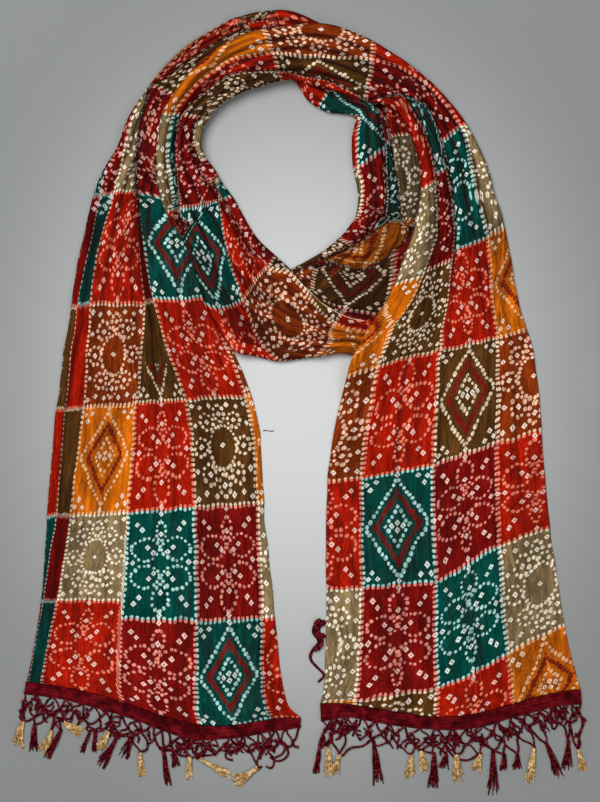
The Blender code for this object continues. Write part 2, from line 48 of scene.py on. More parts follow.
# The cloth is one long ribbon, dyed in squares and laid as two runs. The first goes up the left end, round
# the top and down the inside of the right. The second crosses the front, goes round the top again on the
# first, and down the right end. Left and right across a run are the cloth's own.
# A section row holds its left edge x and y, its right edge x and y, and how far its middle sags, in plan
# units; then the heights of its crest and of its edges in millimetres.
# A dye station holds the section row it stands on; then, for eight knots across the cloth, their shares of
# the way across, their columns of dyed squares, and their rows of squares up from the first hem, or one row
# for all eight.
# A crease holds its width in plan units; how far one side laps over the other in millimetres, less than 0
# for the right side on top; and its path, by section row, share across and depth in millimetres.
underRun = {
    "sections": (
        (26, 681, 301, 718, 20, 3.0, 2.2),
        (29, 668, 285, 698, 13, 3.0, 2.2),
        (37, 630, 276, 630, 3, 3.2, 2.2),
        (44, 573, 270, 568, 0, 3.4, 2.2),
        (47, 517, 264, 510, 0, 3.4, 2.2),
        (52, 458, 261, 450, 0, 3.6, 2.4),
        (57, 405, 254, 403, 0, 3.8, 2.4),
        (63, 360, 236, 358, 0, 4.2, 2.6),
        (70, 315, 219, 315, 0, 5.0, 2.8),
        (78, 265, 206, 268, 0, 6.0, 3.2),
        (88, 218, 197, 225, 0, 7.2, 3.8),
        (100, 179, 191, 190, 0, 8.4, 4.4),
        (117, 146, 187, 158, 0, 9.5, 5.0),
        (132, 111, 193, 134, 0, 10.0, 5.4),
        (152, 82, 205, 114, 0, 10.5, 5.6),
        (177, 54, 220, 100, 0, 11.0, 5.8),
        (206, 33, 240, 90, 0, 11.0, 5.8),
        (240, 16, 264, 83, 0, 11.0, 5.8),
        (282, 10.5, 290, 79, 0, 11.0, 5.8),
        (321, 24, 308, 101, 0, 11.0, 5.8),
        (354, 41, 324, 112, 0, 11.0, 5.8),
        (384, 62, 341, 114, 0, 11.0, 5.8),
        (408, 86, 355.5, 118.5, 0, 11.0, 5.8),
        (424, 118, 351, 140, 0, 11.0, 5.8),
        (431, 158, 352, 167, 0, 10.5, 5.6),
        (432, 200, 358, 192, 0, 10.5, 5.6),
        (426, 240, 357, 211, 0, 10.0, 5.4),
        (410, 278, 350, 225, 0, 10.0, 5.4),
        (390, 307, 338, 240, 0, 9.5, 5.2),
        (368, 326, 322, 252, 0, 9.0, 5.0),
        (344, 338, 304, 262, 0, 8.0, 4.4),
        (322, 342, 288, 270, 0, 6.0, 3.4),
    ),
    "sagSkew": 1.5,
    "dye": (
        (0, (0, 0.03, 0.05, 0.342, 0.35, 0.63, 0.89, 1), (0.85, 1.6, 2, 2.98, 3, 4, 5, 5.4),
            (0.04, 0.04, 0.04, 0.04, 0.05, 0.03, 0, -0.01)),
        (1, (0, 0.03, 0.052, 0.341, 0.349, 0.65, 0.915, 1), (0.87, 1.6, 2, 2.98, 3, 4, 5, 5.3),
            (0.19, 0.19, 0.19, 0.19, 0.25, 0.26, 0.22, 0.2)),
        (2, (0, 0.03, 0.054, 0.339, 0.347, 0.669, 0.941, 1), (0.9, 1.6, 2, 2.98, 3, 4, 5, 5.2),
            (0.64, 0.64, 0.64, 0.66, 0.87, 0.9, 0.9, 0.9)),
        (4, (0, 0.046, 0.106, 0.365, 0.373, 0.682, 0.972, 1), (0.6, 1, 2, 2.97, 3, 4, 5, 5.1),
            (2, 2, 2, 1.98, 1.98, 1.96, 1.94, 1.935)),
        (6, (0, 0.046, 0.137, 0.393, 0.401, 0.66, 0.964, 1), (0.6, 1, 2, 2.97, 3, 4, 5, 5.1),
            (3.057, 3.05, 3.03, 3, 3, 2.96, 2.926, 2.926)),
        (8.3, (0, 0.047, 0.131, 0.51, 0.518, 0.574, 0.97, 1), (0.45, 1, 2, 2.98, 3, 4, 5, 5.1),
            (4.06, 4.05, 4.04, 4.02, 4.02, 4, 3.98, 3.98)),
        (9.35, (0, 0.074, 0.14, 0.31, 0.485, 0.518, 0.85, 1), (0.3, 1, 2, 2.48, 2.97, 4, 4.6, 4.9),
            (4.46, 4.46, 4.46, 4.45, 4.44, 4.43, 4.42, 4.4)),
        (10.5, (0, 0.074, 0.2, 0.32, 0.442, 0.462, 0.78, 1), (0.3, 1, 2, 2.3, 2.6, 4.05, 4.4, 4.7),
            (5, 4.99, 4.95, 4.91, 4.88, 4.9, 4.96, 4.96)),
        (11.3, (0, 0.032, 0.185, 0.28, 0.365, 0.375, 0.62, 1), (0.9, 1, 2, 2.16, 2.3, 4.2, 4.45, 4.85),
            (5.25, 5.25, 5.24, 5.22, 5.2, 5.22, 5.27, 5.27)),
        (12, (0, 0.05, 0.1, 0.19, 0.28, 0.29, 0.56, 1), (1.85, 1.92, 2, 2.09, 2.18, 4.35, 4.65, 5.2),
            (5.5, 5.5, 5.5, 5.5, 5.5, 5.5, 5.48, 5.45)),
        (13.4, (0, 0.01, 0.02, 0.07, 0.12, 0.13, 0.42, 1), (1.98, 1.99, 2, 2.06, 2.13, 4.35, 4.65, 5.25),
            (5.83, 5.83, 5.83, 5.83, 5.83, 5.83, 5.81, 5.76)),
        (13.78, (0, 0.001, 0.002, 0.003, 0.004, 0.006, 0.42, 1),
            (2.1, 2.1, 2.1, 2.11, 2.12, 4.3, 4.65, 5.25),
            (5.96, 5.96, 5.96, 5.96, 5.96, 5.96, 5.93, 5.87)),
        (13.8, (0, 0.001, 0.002, 0.003, 0.004, 0.006, 0.42, 1),
            (-0.01, 0, 0, 0.41, 0.42, 4.3, 4.65, 5.25), (5.97, 5.97, 5.97, 5.97, 5.97, 5.97, 5.94, 5.88)),
        (14.3, (0, 0.03, 0.05, 0.06, 0.15, 0.155, 0.5, 1),
            (-0.06, -0.01, 0.02, 0.38, 0.5, 4.3, 4.68, 5.2),
            (6.13, 6.13, 6.13, 6.13, 6.13, 6.13, 6.1, 6.05)),
        (15.4, (0, 0.03, 0.05, 0.06, 0.22, 0.225, 0.5, 1),
            (-0.06, -0.01, 0.02, 0.38, 0.56, 4.3, 4.65, 5.2),
            (6.38, 6.38, 6.38, 6.38, 6.38, 6.38, 6.36, 6.3)),
        (16.9, (0, 0.005, 0.01, 0.015, 0.188, 0.193, 0.6, 1),
            (-0.02, -0.01, 0.01, 0.4, 0.58, 4.3, 4.75, 5.2),
            (6.72, 6.72, 6.72, 6.72, 6.72, 6.72, 6.7, 6.65)),
        (17, (0, 0.001, 0.002, 0.004, 0.19, 0.195, 0.6, 1),
            (0.34, 0.34, 0.35, 1.35, 1.55, 4.3, 4.75, 5.2),
            (7.02, 7.02, 7.02, 7.03, 7.03, 6.75, 6.73, 6.68)),
        (17.35, (0, 0.06, 0.14, 0.145, 0.3, 0.31, 0.6, 1), (0.3, 0.37, 0.46, 1.35, 1.55, 4.3, 4.75, 5.2),
            (7.16, 7.16, 7.16, 7.17, 7.17, 6.84, 6.9, 6.94)),
        (17.8, (0, 0.001, 0.003, 0.005, 0.3, 0.31, 0.6, 1), (0.34, 0.34, 0.35, 1.35, 1.6, 4.3, 4.75, 5.2),
            (7.36, 7.36, 7.36, 7.37, 7.37, 6.96, 7.12, 7.27)),
        (17.82, (0, 0.001, 0.003, 0.005, 0.3, 0.31, 0.6, 1), (1.3, 1.3, 1.3, 1.3, 1.6, 4.3, 4.75, 5.2),
            (7.04, 7.04, 7.04, 7.04, 7.04, 6.96, 7.12, 7.27)),
        (18.25, (0, 0.12, 0.25, 0.26, 0.33, 0.34, 0.6, 1), (1.3, 1.42, 1.55, 1.56, 1.62, 4.3, 4.5, 4.9),
            (7.12, 7.12, 7.12, 7.12, 7.12, 7.12, 7.53, 7.58)),
        (20, (0, 0.15, 0.3, 0.31, 0.5, 0.6, 0.8, 1), (1.35, 1.52, 1.7, 3.9, 4.1, 4.3, 4.6, 4.85),
            (7.45, 7.45, 7.45, 7.45, 7.7, 8.05, 8.08, 8.1)),
        (21.5, (0, 0.3, 0.45, 0.62, 0.64, 0.66, 0.9, 1), (1.3, 1.7, 2.2, 2.42, 3.9, 4.5, 4.85, 5),
            (8, 8, 8.2, 8.3, 8.3, 8.33, 8.38, 8.4)),
        (22.3, (0, 0.3, 0.5, 0.52, 0.6, 0.61, 0.91, 1), (1.9, 2.1, 2.42, 3.85, 3.98, 4.62, 5, 5.1),
            (8.4, 8.5, 8.6, 8.6, 8.55, 8.55, 8.53, 8.53)),
        (23.5, (0, 0.27, 0.475, 0.485, 0.555, 0.565, 0.934, 1), (2, 2.15, 2.45, 3.86, 3.99, 4.55, 5, 5.1),
            (9.1, 9.1, 9.1, 9.05, 9.02, 8.98, 8.86, 8.84)),
        (24.85, (0, 0.145, 0.46, 0.468, 0.615, 0.622, 0.928, 1), (2, 2.1, 2.47, 3.82, 3.99, 4.6, 5, 5.08),
            (9.75, 9.7, 9.6, 9.57, 9.48, 9.3, 9.22, 9.2)),
        (25.7, (0, 0.145, 0.405, 0.412, 0.62, 0.63, 0.94, 1),
            (1.95, 2.05, 2.42, 3.8, 3.99, 4.62, 5, 5.07),
            (10.1, 10.06, 9.98, 9.95, 9.85, 9.52, 9.42, 9.4)),
        (25.9, (0, 0.22, 0.235, 0.54, 0.55, 0.67, 0.68, 1),
            (1.2, 1.1, 2.02, 2.45, 3.83, 3.99, 4.63, 5.06),
            (11.35, 11.15, 10.1, 10.04, 9.98, 9.87, 9.57, 9.46)),
        (26.2, (0, 0.26, 0.27, 0.63, 0.65, 0.7, 0.71, 1), (1.2, 1.1, 2.03, 2.5, 3.85, 3.99, 4.65, 5.05),
            (11.4, 11.2, 10.2, 10.12, 9.99, 9.93, 9.64, 9.54)),
        (27.3, (0, 0.43, 0.44, 0.79, 0.8, 0.85, 0.92, 1), (1.15, 0.87, 2.03, 2.5, 4.45, 4.55, 4.75, 4.95),
            (11.75, 11.35, 10.45, 10.4, 9.9, 9.89, 9.87, 9.84)),
        (28.14, (0, 0.58, 0.59, 0.85, 0.86, 0.9, 0.95, 1), (1.02, 0.57, 2.05, 2.45, 4.3, 4.4, 4.5, 4.6),
            (11.95, 11.41, 10.68, 10.62, 10.15, 10.12, 10.1, 10.08)),
        (28.8, (0, 0.82, 0.83, 0.895, 0.9, 0.93, 0.97, 1), (0.87, 0.22, 2.1, 2.35, 4.3, 4.35, 4.4, 4.45),
            (12.12, 11.36, 10.84, 10.8, 10.35, 10.32, 10.3, 10.28)),
        (30, (0, 0.9, 0.91, 0.93, 0.94, 0.95, 0.97, 1), (0.59, -0.1, -0.11, -0.13, -0.14, 4.3, 4.35, 4.4),
            (12.43, 11.6, 11.6, 11.59, 11.58, 10.6, 10.57, 10.5)),
        (31, (0, 0.9, 0.91, 0.93, 0.94, 0.95, 0.97, 1),
            (0.36, -0.33, -0.34, -0.35, -0.36, 4.3, 4.35, 4.4),
            (12.7, 11.86, 11.86, 11.85, 11.85, 10.9, 10.85, 10.8)),
    ),
    "creases": (
        (5, 0.4, ((-1, 0.07, 1.7), (6, 0.05, 1.7), (12, 0.16, 1.8), (17, 0.13, 2.6), (21, 0.18, 2.6),
            (25, 0.2, 2.4), (32, 0.2, 2))),
        (6, 0, ((-1, 0.18, 0.9), (6, 0.15, 1.2), (12, 0.3, 2.2), (17, 0.3, 3.2), (21, 0.36, 3.2),
            (26, 0.38, 2.6), (32, 0.36, 2.4))),
        (5, 0.8, ((-1, 0.48, 1), (5, 0.49, 1.2), (7.5, 0.535, 2), (12, 0.58, 2.2), (17, 0.54, 2.4),
            (21, 0.58, 2.8), (26, 0.56, 3.4), (32, 0.58, 3.4))),
        (6, 0, ((-1, 0.7, 1), (6, 0.71, 1), (12, 0.8, 2), (17, 0.78, 2.2), (21, 0.78, 2.6), (26, 0.76, 3),
            (32, 0.8, 3))),
        (3.5, 0, ((-1, 0.29, 0.8), (6, 0.27, 1), (10, 0.36, 0.9), (12, 0.42, 0))),
        (3, 1.1, ((-1, 0.37, 0.4), (4, 0.39, 0.7), (7, 0.43, 1.6), (10, 0.45, 1.8), (12.5, 0.5, 0))),
        (4, 0, ((-1, 0.58, 0.9), (6, 0.6, 1.2), (10, 0.68, 0.8), (12, 0.74, 0))),
        (4, 0, ((-1, 0.82, 1), (6, 0.83, 1), (12, 0.9, 0))),
        (4, 0.9, ((-1, 0.89, 2.2), (1.5, 0.92, 1.8), (4, 0.95, 1), (6, 0.97, 0))),
        (20, 0, ((25.5, 0.02, 0), (26.5, 0.05, 1.6), (31, 0.06, 1.8))),
    ),
    "seed": 3,
}
overRun = {
    "sections": (
        (368, 368, 389, 324, 0, 5.5, 3.4),
        (348, 354, 372, 320, 0, 7.0, 4.0),
        (323, 356, 350, 315, 0, 9.0, 5.0),
        (300, 360, 326, 303, 0, 10.0, 5.2),
        (278, 361, 308, 287, 0, 10.0, 5.2),
        (255, 357, 290, 270, 0, 10.0, 5.2),
        (233, 350, 274, 255, 0, 10.0, 5.2),
        (216, 325, 260, 242, 0, 10.0, 5.2),
        (204, 300, 249, 226, 0, 10.0, 5.2),
        (195, 270, 239, 208, 0, 10.0, 5.2),
        (183, 242, 228, 190, 0, 10.0, 5.2),
        (168, 216, 217, 174, 0, 10.0, 5.2),
        (159, 190, 208, 160, 0, 10.0, 5.2),
        (157, 160, 202, 146, 0, 10.0, 5.2),
        (160, 130, 205, 130, 0, 10.0, 5.2),
        (164, 112, 213, 116, 0, 10.5, 5.4),
        (177, 92, 224, 104, 0, 11.0, 5.6),
        (197, 67, 240, 96, 0, 11.5, 5.8),
        (223, 46, 258, 89, 0, 12.0, 6.0),
        (255, 33, 276, 84, 0, 12.0, 6.0),
        (288, 28, 291, 83, 0, 12.0, 6.0),
        (320, 25, 307, 87, 0, 12.0, 6.0),
        (350, 33, 324, 91, 0, 12.0, 6.0),
        (380, 47, 344, 97, 0, 12.0, 6.0),
        (410, 67, 368, 103, 0, 11.5, 5.8),
        (438, 91, 392, 110, 0, 11.0, 5.6),
        (462, 118, 407, 129, 0, 10.0, 5.2),
        (479, 147, 415, 152, 0, 9.5, 5.0),
        (489, 172, 420, 175, 0, 9.0, 4.6),
        (495, 195.4, 420, 196.4, 0, 8.5, 4.2),
        (502, 220, 415, 221, 0, 7.6, 3.8),
        (508, 246, 408, 246, 0, 6.8, 3.4),
        (514, 275, 398, 275, 0, 6.0, 3.0),
        (520, 307, 386, 302, 0, 5.2, 2.8),
        (529, 337, 367, 330, 0, 4.6, 2.6),
        (535, 366, 353, 357, 0, 4.2, 2.6),
        (539, 398, 343, 391, 0, 3.8, 2.4),
        (542, 437, 333, 433, 0, 3.6, 2.4),
        (546, 482, 328, 475, 0, 3.4, 2.2),
        (549, 525, 325.5, 520, 0, 3.4, 2.2),
        (556, 572, 325.5, 574, 0, 3.2, 2.2),
        (566, 630, 326.5, 635, 3, 3.0, 2.2),
        (576, 675, 323, 688, 13, 3.0, 2.2),
        (580.5, 689, 320, 703, 20, 3.0, 2.2),
    ),
    "sagSkew": 1.0,
    "dye": (
        (0, (0, 0.1, 0.2, 0.3, 0.42, 0.54, 0.62, 1), (5.05, 5.12, 5.2, 5.3, 5.5, 5.75, 6, 6.4),
            (14.35, 14.36, 14.38, 14.4, 14.45, 14.5, 14.5, 14.5)),
        (2, (0, 0.1, 0.2, 0.3, 0.45, 0.6, 0.72, 1), (5.05, 5.15, 5.25, 5.33, 5.55, 5.8, 6, 6.25),
            (14.93, 14.95, 14.97, 15, 14.95, 14.9, 14.9, 14.9)),
        (4, (0, 0.1, 0.2, 0.3, 0.5, 0.7, 0.93, 1), (5, 5.1, 5.2, 5.3, 5.5, 5.74, 6, 6.08),
            (15.3, 15.34, 15.38, 15.42, 15.44, 15.47, 15.53, 15.54)),
        (5, (0, 0.16, 0.25, 0.4, 0.55, 0.75, 0.965, 1), (4.76, 5, 5.1, 5.28, 5.47, 5.72, 6, 6.04),
            (15.48, 15.55, 15.6, 15.63, 15.66, 15.7, 15.78, 15.78)),
        (6, (0, 0.39, 0.5, 0.6, 0.7, 0.85, 0.9, 1), (4.42, 5, 5.22, 5.45, 5.7, 6, 6.1, 6.3),
            (15.66, 15.87, 15.88, 15.89, 15.92, 15.98, 16, 16.02)),
        (7, (0, 0.25, 0.47, 0.495, 0.7, 0.84, 0.865, 1), (4.3, 4.65, 4.94, 5, 5.4, 5.6, 6.05, 6.25),
            (15.84, 16.04, 16.15, 16.16, 16.2, 16.25, 16.27, 16.3)),
        (8, (0, 0.3, 0.53, 0.56, 0.7, 0.84, 0.865, 1), (4.28, 4.66, 4.94, 5, 5.2, 5.35, 6.05, 6.2),
            (16.03, 16.31, 16.4, 16.41, 16.46, 16.52, 16.53, 16.57)),
        (9, (0, 0.3, 0.6, 0.63, 0.75, 0.845, 0.865, 1), (4.27, 4.6, 4.93, 5, 5.12, 5.22, 6.05, 6.2),
            (16.34, 16.56, 16.67, 16.68, 16.73, 16.77, 16.78, 16.83)),
        (10, (0, 0.3, 0.78, 0.8, 0.83, 0.86, 0.88, 1), (4.2, 4.55, 4.95, 5, 5.05, 5.1, 6.05, 6.2),
            (16.64, 16.8, 17, 17.02, 17.03, 17.04, 17.05, 17.1)),
        (10.5, (0, 0.03, 0.04, 0.13, 0.5, 0.87, 0.88, 1), (2.88, 2.91, 3.9, 4, 4.4, 4.8, 6.05, 6.15),
            (16.87, 16.88, 16.88, 16.91, 17.02, 17.14, 17.16, 17.18)),
        (10.91, (0, 0.079, 0.15, 0.249, 0.52, 0.79, 0.9, 1), (2.93, 3, 3.07, 4, 4.3, 4.6, 4.7, 4.8),
            (16.93, 16.95, 16.97, 17, 17.13, 17.22, 17.26, 17.28)),
        (11.3, (0, 0.21, 0.28, 0.29, 0.52, 0.79, 0.9, 1), (2.8, 3, 3.07, 4, 4.22, 4.5, 4.6, 4.7),
            (17.1, 17.16, 17.18, 17.18, 17.27, 17.33, 17.35, 17.36)),
        (12.2, (0, 0.29, 0.405, 0.415, 0.6, 0.86, 0.87, 1), (2.75, 3, 3.12, 4, 4.17, 4.45, 5, 5.1),
            (17.42, 17.45, 17.47, 17.47, 17.5, 17.52, 17.52, 17.52)),
        (13.3, (0, 0.26, 0.41, 0.42, 0.78, 0.796, 0.9, 1), (2.8, 3, 3.12, 4, 4.3, 5, 5.08, 5.16),
            (17.75, 17.75, 17.76, 17.76, 17.76, 17.76, 17.76, 17.76)),
        (14.3, (0, 0.25, 0.385, 0.4, 0.745, 0.761, 0.9, 1), (2.8, 3, 3.1, 4, 4.28, 5, 5.1, 5.18),
            (17.9, 17.9, 17.9, 17.9, 17.92, 17.92, 17.93, 17.93)),
        (15.1, (0, 0.266, 0.415, 0.425, 0.992, 0.994, 0.996, 1), (2.78, 3, 3.12, 4, 4.44, 5, 5, 5.01),
            18.06),
        (15.15, (0, 0.266, 0.415, 0.425, 0.6, 0.76, 0.9, 1), (2.78, 3, 3.12, 4, 4.14, 4.27, 4.38, 4.45),
            18.07),
        (16, (0, 0.28, 0.49, 0.5, 0.7, 0.85, 0.95, 1), (2.79, 3, 3.17, 4, 4.15, 4.26, 4.34, 4.38), 18.22),
        (17.5, (0, 0.34, 0.57, 0.58, 0.75, 0.85, 0.95, 1), (2.72, 3, 3.19, 4, 4.14, 4.22, 4.3, 4.35),
            18.55),
        (18.8, (0, 0.43, 0.76, 0.77, 0.85, 0.9, 0.95, 1), (2.65, 3, 3.28, 4, 4.07, 4.1, 4.15, 4.2),
            (18.88, 18.89, 18.87, 18.86, 18.86, 18.86, 18.86, 18.86)),
        (19.5, (0, 0.5, 0.82, 0.83, 0.88, 0.92, 0.96, 1), (2.46, 3, 3.27, 4, 4.04, 4.07, 4.1, 4.14),
            (19.06, 19.05, 19.03, 19.03, 19.03, 19.02, 19.02, 19.02)),
        (20.5, (0, 0.582, 0.875, 0.885, 0.91, 0.94, 0.97, 1), (2.34, 3, 3.28, 4, 4.02, 4.05, 4.08, 4.1),
            (19.34, 19.31, 19.27, 19.27, 19.27, 19.27, 19.26, 19.26)),
        (22, (0, 0.49, 0.85, 0.86, 0.9, 0.93, 0.96, 1), (2.42, 3, 3.36, 4, 4.04, 4.07, 4.1, 4.14),
            (19.76, 19.7, 19.61, 19.6, 19.6, 19.6, 19.59, 19.59)),
        (23.2, (0, 0.26, 0.9, 0.91, 0.93, 0.95, 0.97, 1), (2.75, 3, 3.62, 4, 4.02, 4.04, 4.07, 4.1),
            (20.12, 20.03, 19.85, 19.85, 19.84, 19.84, 19.84, 19.84)),
        (23.9, (0, 0.15, 0.992, 0.994, 0.995, 0.996, 0.998, 1), (2.88, 3, 3.72, 4, 4, 4.01, 4.01, 4.02),
            (20.3, 20.27, 20.02, 20.02, 20.02, 20.02, 20.02, 20.02)),
        (23.92, (0, 0.15, 0.992, 0.993, 0.994, 0.995, 0.998, 1), (2.88, 3, 3.72, 4, 4, 5.2, 5.2, 5.2),
            (20.3, 20.27, 20.02, 20.02, 20.02, 20.02, 20.02, 20.02)),
        (24.7, (0, 0.11, 0.6, 0.601, 0.603, 0.604, 0.96, 1), (2.91, 3, 3.44, 4, 4.01, 5.02, 5.2, 5.22),
            (20.55, 20.52, 20.36, 20.36, 20.36, 20.34, 20.25, 20.24)),
        (25.4, (0, 0.1, 0.43, 0.44, 0.71, 0.72, 0.94, 1), (2.92, 3, 3.27, 4, 4.22, 5, 5.17, 5.22),
            (20.76, 20.75, 20.64, 20.63, 20.43, 20.42, 20.33, 20.32)),
        (26.6, (0, 0.14, 0.54, 0.55, 0.745, 0.755, 0.96, 1), (2.9, 3, 3.4, 4, 4.18, 5, 5.2, 5.24),
            (21.1, 21.1, 20.97, 20.9, 20.68, 20.67, 20.56, 20.55)),
        (27.6, (0, 0.23, 0.6, 0.61, 0.765, 0.77, 0.97, 1), (2.77, 3, 3.4, 4, 4.15, 5, 5.2, 5.24),
            (21.4, 21.4, 21.25, 20.95, 20.9, 20.87, 20.76, 20.75)),
        (28.6, (0, 0.256, 0.565, 0.575, 0.775, 0.78, 0.98, 1), (2.72, 3, 3.36, 4, 4.22, 5, 5.2, 5.24),
            (21.7, 21.68, 21.5, 21.2, 21.12, 21.05, 20.97, 20.95)),
        (29.6, (0, 0.234, 0.555, 0.565, 0.745, 0.755, 0.9, 1), (2.7, 3, 3.42, 4, 4.23, 5, 5.18, 5.32),
            (21.93, 21.73, 21.6, 21.45, 21.37, 21.3, 21.27, 21.25)),
        (30.8, (0, 0.2, 0.53, 0.54, 0.715, 0.725, 0.9, 1), (2.65, 3, 3.5, 4, 4.3, 5, 5.25, 5.45),
            (22.1, 22.03, 21.9, 21.8, 21.68, 21.6, 21.55, 21.55)),
        (34, (0, 0.204, 0.53, 0.537, 0.845, 0.852, 0.93, 1), (2.5, 3, 3.98, 4, 4.98, 5, 5.18, 5.35),
            (23.08, 22.98, 22.82, 22.82, 22.61, 22.6, 22.52, 22.45)),
        (37, (0, 0.215, 0.51, 0.517, 0.835, 0.842, 0.92, 1), (2.4, 3, 3.98, 4, 4.98, 5, 5.2, 5.42),
            (24.05, 23.93, 23.72, 23.72, 23.55, 23.55, 23.51, 23.48)),
        (40, (0, 0.24, 0.515, 0.522, 0.836, 0.843, 0.92, 1), (2.28, 3, 3.98, 4, 4.98, 5, 5.25, 5.5),
            (25.43, 25.23, 24.92, 24.92, 24.86, 24.86, 24.85, 24.84)),
        (41, (0, 0.252, 0.538, 0.545, 0.85, 0.857, 0.93, 1), (2.2, 3, 3.98, 4, 4.98, 5, 5.25, 5.5),
            (26.05, 25.82, 25.52, 25.51, 25.43, 25.42, 25.41, 25.4)),
        (42, (0, 0.258, 0.545, 0.552, 0.86, 0.866, 0.94, 1), (2.14, 3, 3.98, 4, 4.98, 5, 5.22, 5.45),
            (26.55, 26.31, 26.1, 26.09, 25.91, 25.9, 25.88, 25.87)),
        (43, (0, 0.263, 0.55, 0.557, 0.865, 0.872, 0.94, 1), (2.12, 3, 3.98, 4, 4.98, 5, 5.2, 5.4),
            (26.7, 26.49, 26.31, 26.3, 26.06, 26.05, 26.02, 26)),
    ),
    "creases": (
        (5, 0.8, ((-1, 0.2, 1.4), (6, 0.14, 1.6), (14, 0.26, 2.4), (22, 0.22, 2.6), (29, 0.18, 2.2),
            (34, 0.12, 1.5), (44, 0.13, 1.5))),
        (5, 1.2, ((-1, 0.42, 2.2), (6, 0.3, 2.6), (14, 0.44, 3.6), (22, 0.42, 3.8), (29, 0.38, 2.4),
            (34, 0.25, 1.2), (44, 0.25, 1))),
        (5, 0.8, ((-1, 0.6, 1.7), (6, 0.58, 1.9), (14, 0.62, 2.8), (22, 0.6, 2.8), (29, 0.58, 2.6),
            (34, 0.5, 1.3), (44, 0.46, 1))),
        (5, 0.6, ((-1, 0.8, 1.6), (6, 0.8, 1.8), (14, 0.82, 2.6), (22, 0.8, 3.2), (29, 0.78, 2.4),
            (34, 0.7, 1.8), (44, 0.66, 1.3))),
        (4, 0, ((31, 0.37, 0), (34, 0.36, 0.8), (44, 0.36, 0.8))),
        (4, 0, ((31, 0.62, 0), (34, 0.6, 0.9), (44, 0.56, 0.9))),
        (4, 0, ((30, 0.8, 0), (34, 0.8, 1), (44, 0.77, 1))),
        (4, 0, ((30, 0.9, 0), (34, 0.9, 1), (44, 0.88, 1))),
    ),
    "seed": 8,
}
clothPieces = {
    # name: run, first and last section row, node, heap that it is laid over, millimetres across a face
    "leftTailCloth": ("under", 0, 12, "left_tail", None, 1.5),
    "backUnderCloth": ("under", 12, 21, "back_under_wrap", None, 1.1),
    "rightInnerCloth": ("under", 21, 31, "right_inner_wrap", None, 1.1),
    "frontCrossCloth": ("over", 0, 14, "front_cross", "base", 1.1),
    "overWrapCloth": ("over", 14, 29, "over_wrap", "base", 1.1),
    "rightTailCloth": ("over", 29, 43, "right_tail", "tail", 1.5),
}


def toWorld(x, y):
    return (x - layout["middle"][0]) * layout["unit"], (layout["middle"][1] - y) * layout["unit"]


def smoothRows(rows, at):
    # a smooth curve through the rows of a table, read at fractional row numbers
    rows = np.array(rows, float)
    rows = np.vstack([2 * rows[0] - rows[1], rows, 2 * rows[-1] - rows[-2]])
    i = np.clip(np.floor(at).astype(int), 0, len(rows) - 4)
    t = (at - i)[:, None]
    before, start, end, after = rows[i], rows[i + 1], rows[i + 2], rows[i + 3]
    slopeIn, slopeOut = (end - before) / 2, (after - start) / 2
    return (
        (2 * t**3 - 3 * t**2 + 1) * start
        + (t**3 - 2 * t**2 + t) * slopeIn
        + (3 * t**2 - 2 * t**3) * end
        + (t**3 - t**2) * slopeOut
    )


def waves(a, b, seed):
    # smooth noise from -1 to 1 over two coordinates
    size = 64
    values = np.random.default_rng(seed).uniform(-1, 1, (size, size))
    i, j = np.floor(a).astype(int), np.floor(b).astype(int)
    s, t = a - i, b - j
    s, t = s * s * (3 - 2 * s), t * t * (3 - 2 * t)

    def corner(di, dj):
        return values[(i + di) % size, (j + dj) % size]

    low = corner(0, 0) * (1 - s) + corner(1, 0) * s
    high = corner(0, 1) * (1 - s) + corner(1, 1) * s
    return low * (1 - t) + high * t


def smoothStep(x, low, high):
    # 0 below low, 1 above high, and a soft rise between them
    t = np.clip((x - low) / (high - low), 0, 1)
    return t * t * (3 - 2 * t)


def runLengths(run):
    # the distance along the run's middle line, in plan units, at each of its rows and in between
    at = np.linspace(0, len(run["sections"]) - 1, 1200)
    rows = smoothRows(run["sections"], at)
    middle = (rows[:, 0:2] + rows[:, 2:4]) / 2
    return at, np.concatenate([[0], np.cumsum(np.hypot(*np.diff(middle, axis=0).T))])


def dyeAt(run, at, across):
    # the dyed square's column and row at each point of a grid of sections
    blur, jump = 0.12, 0.3  # section rows that the dye is smoothed over, and a change too sudden to smooth
    stations = np.array([station[0] for station in run["dye"]], float)
    knots = np.array([np.stack(np.broadcast_arrays(*station[1:]), axis=1) for station in run["dye"]], float)
    here = np.empty((len(at), *knots.shape[1:]))
    for k in range(knots.shape[1]):
        for c in range(3):
            near = np.interp(at[:, None] + np.linspace(-blur, blur, 3), stations, knots[:, k, c])
            here[:, k, c] = np.where(np.ptp(near, axis=1) > jump, near[:, 1], near.mean(axis=1))
    columns = np.array([np.interp(f, row[:, 0], row[:, 1]) for f, row in zip(across, here)])
    rows = np.array([np.interp(f, row[:, 0], row[:, 2]) for f, row in zip(across, here)])
    return columns, rows


crinkle = {
    # waves of the crushed silk: how wide and how long in plan units, and how far they reach, the warp in plan
    # units and the broad swell in millimetres
    "warp": (45, 80, 7),
    "broad": (26, 130, 0.9),
    # ridges: how wide and long, how far they follow the warp, how narrow, how peaked, and millimetres high
    "ridges": (10.5, 75, 1, 2.4, 1.5, 1.6),
    "fine": (5.6, 42, 0.6, 2.2, 1.4, 0.85),
    "pleats": (4.2, 150, 0.4, 1.9, 1.3, 0.9),  # in the rolled wraps
    "crease": (60, 2.2),  # how long the waves of a crease's path are, and how far they reach, in plan units
    "lip": 0.7,  # plan units over which the side on top steps up at a crease
    "settle": 11,  # plan units over which it comes down again
}


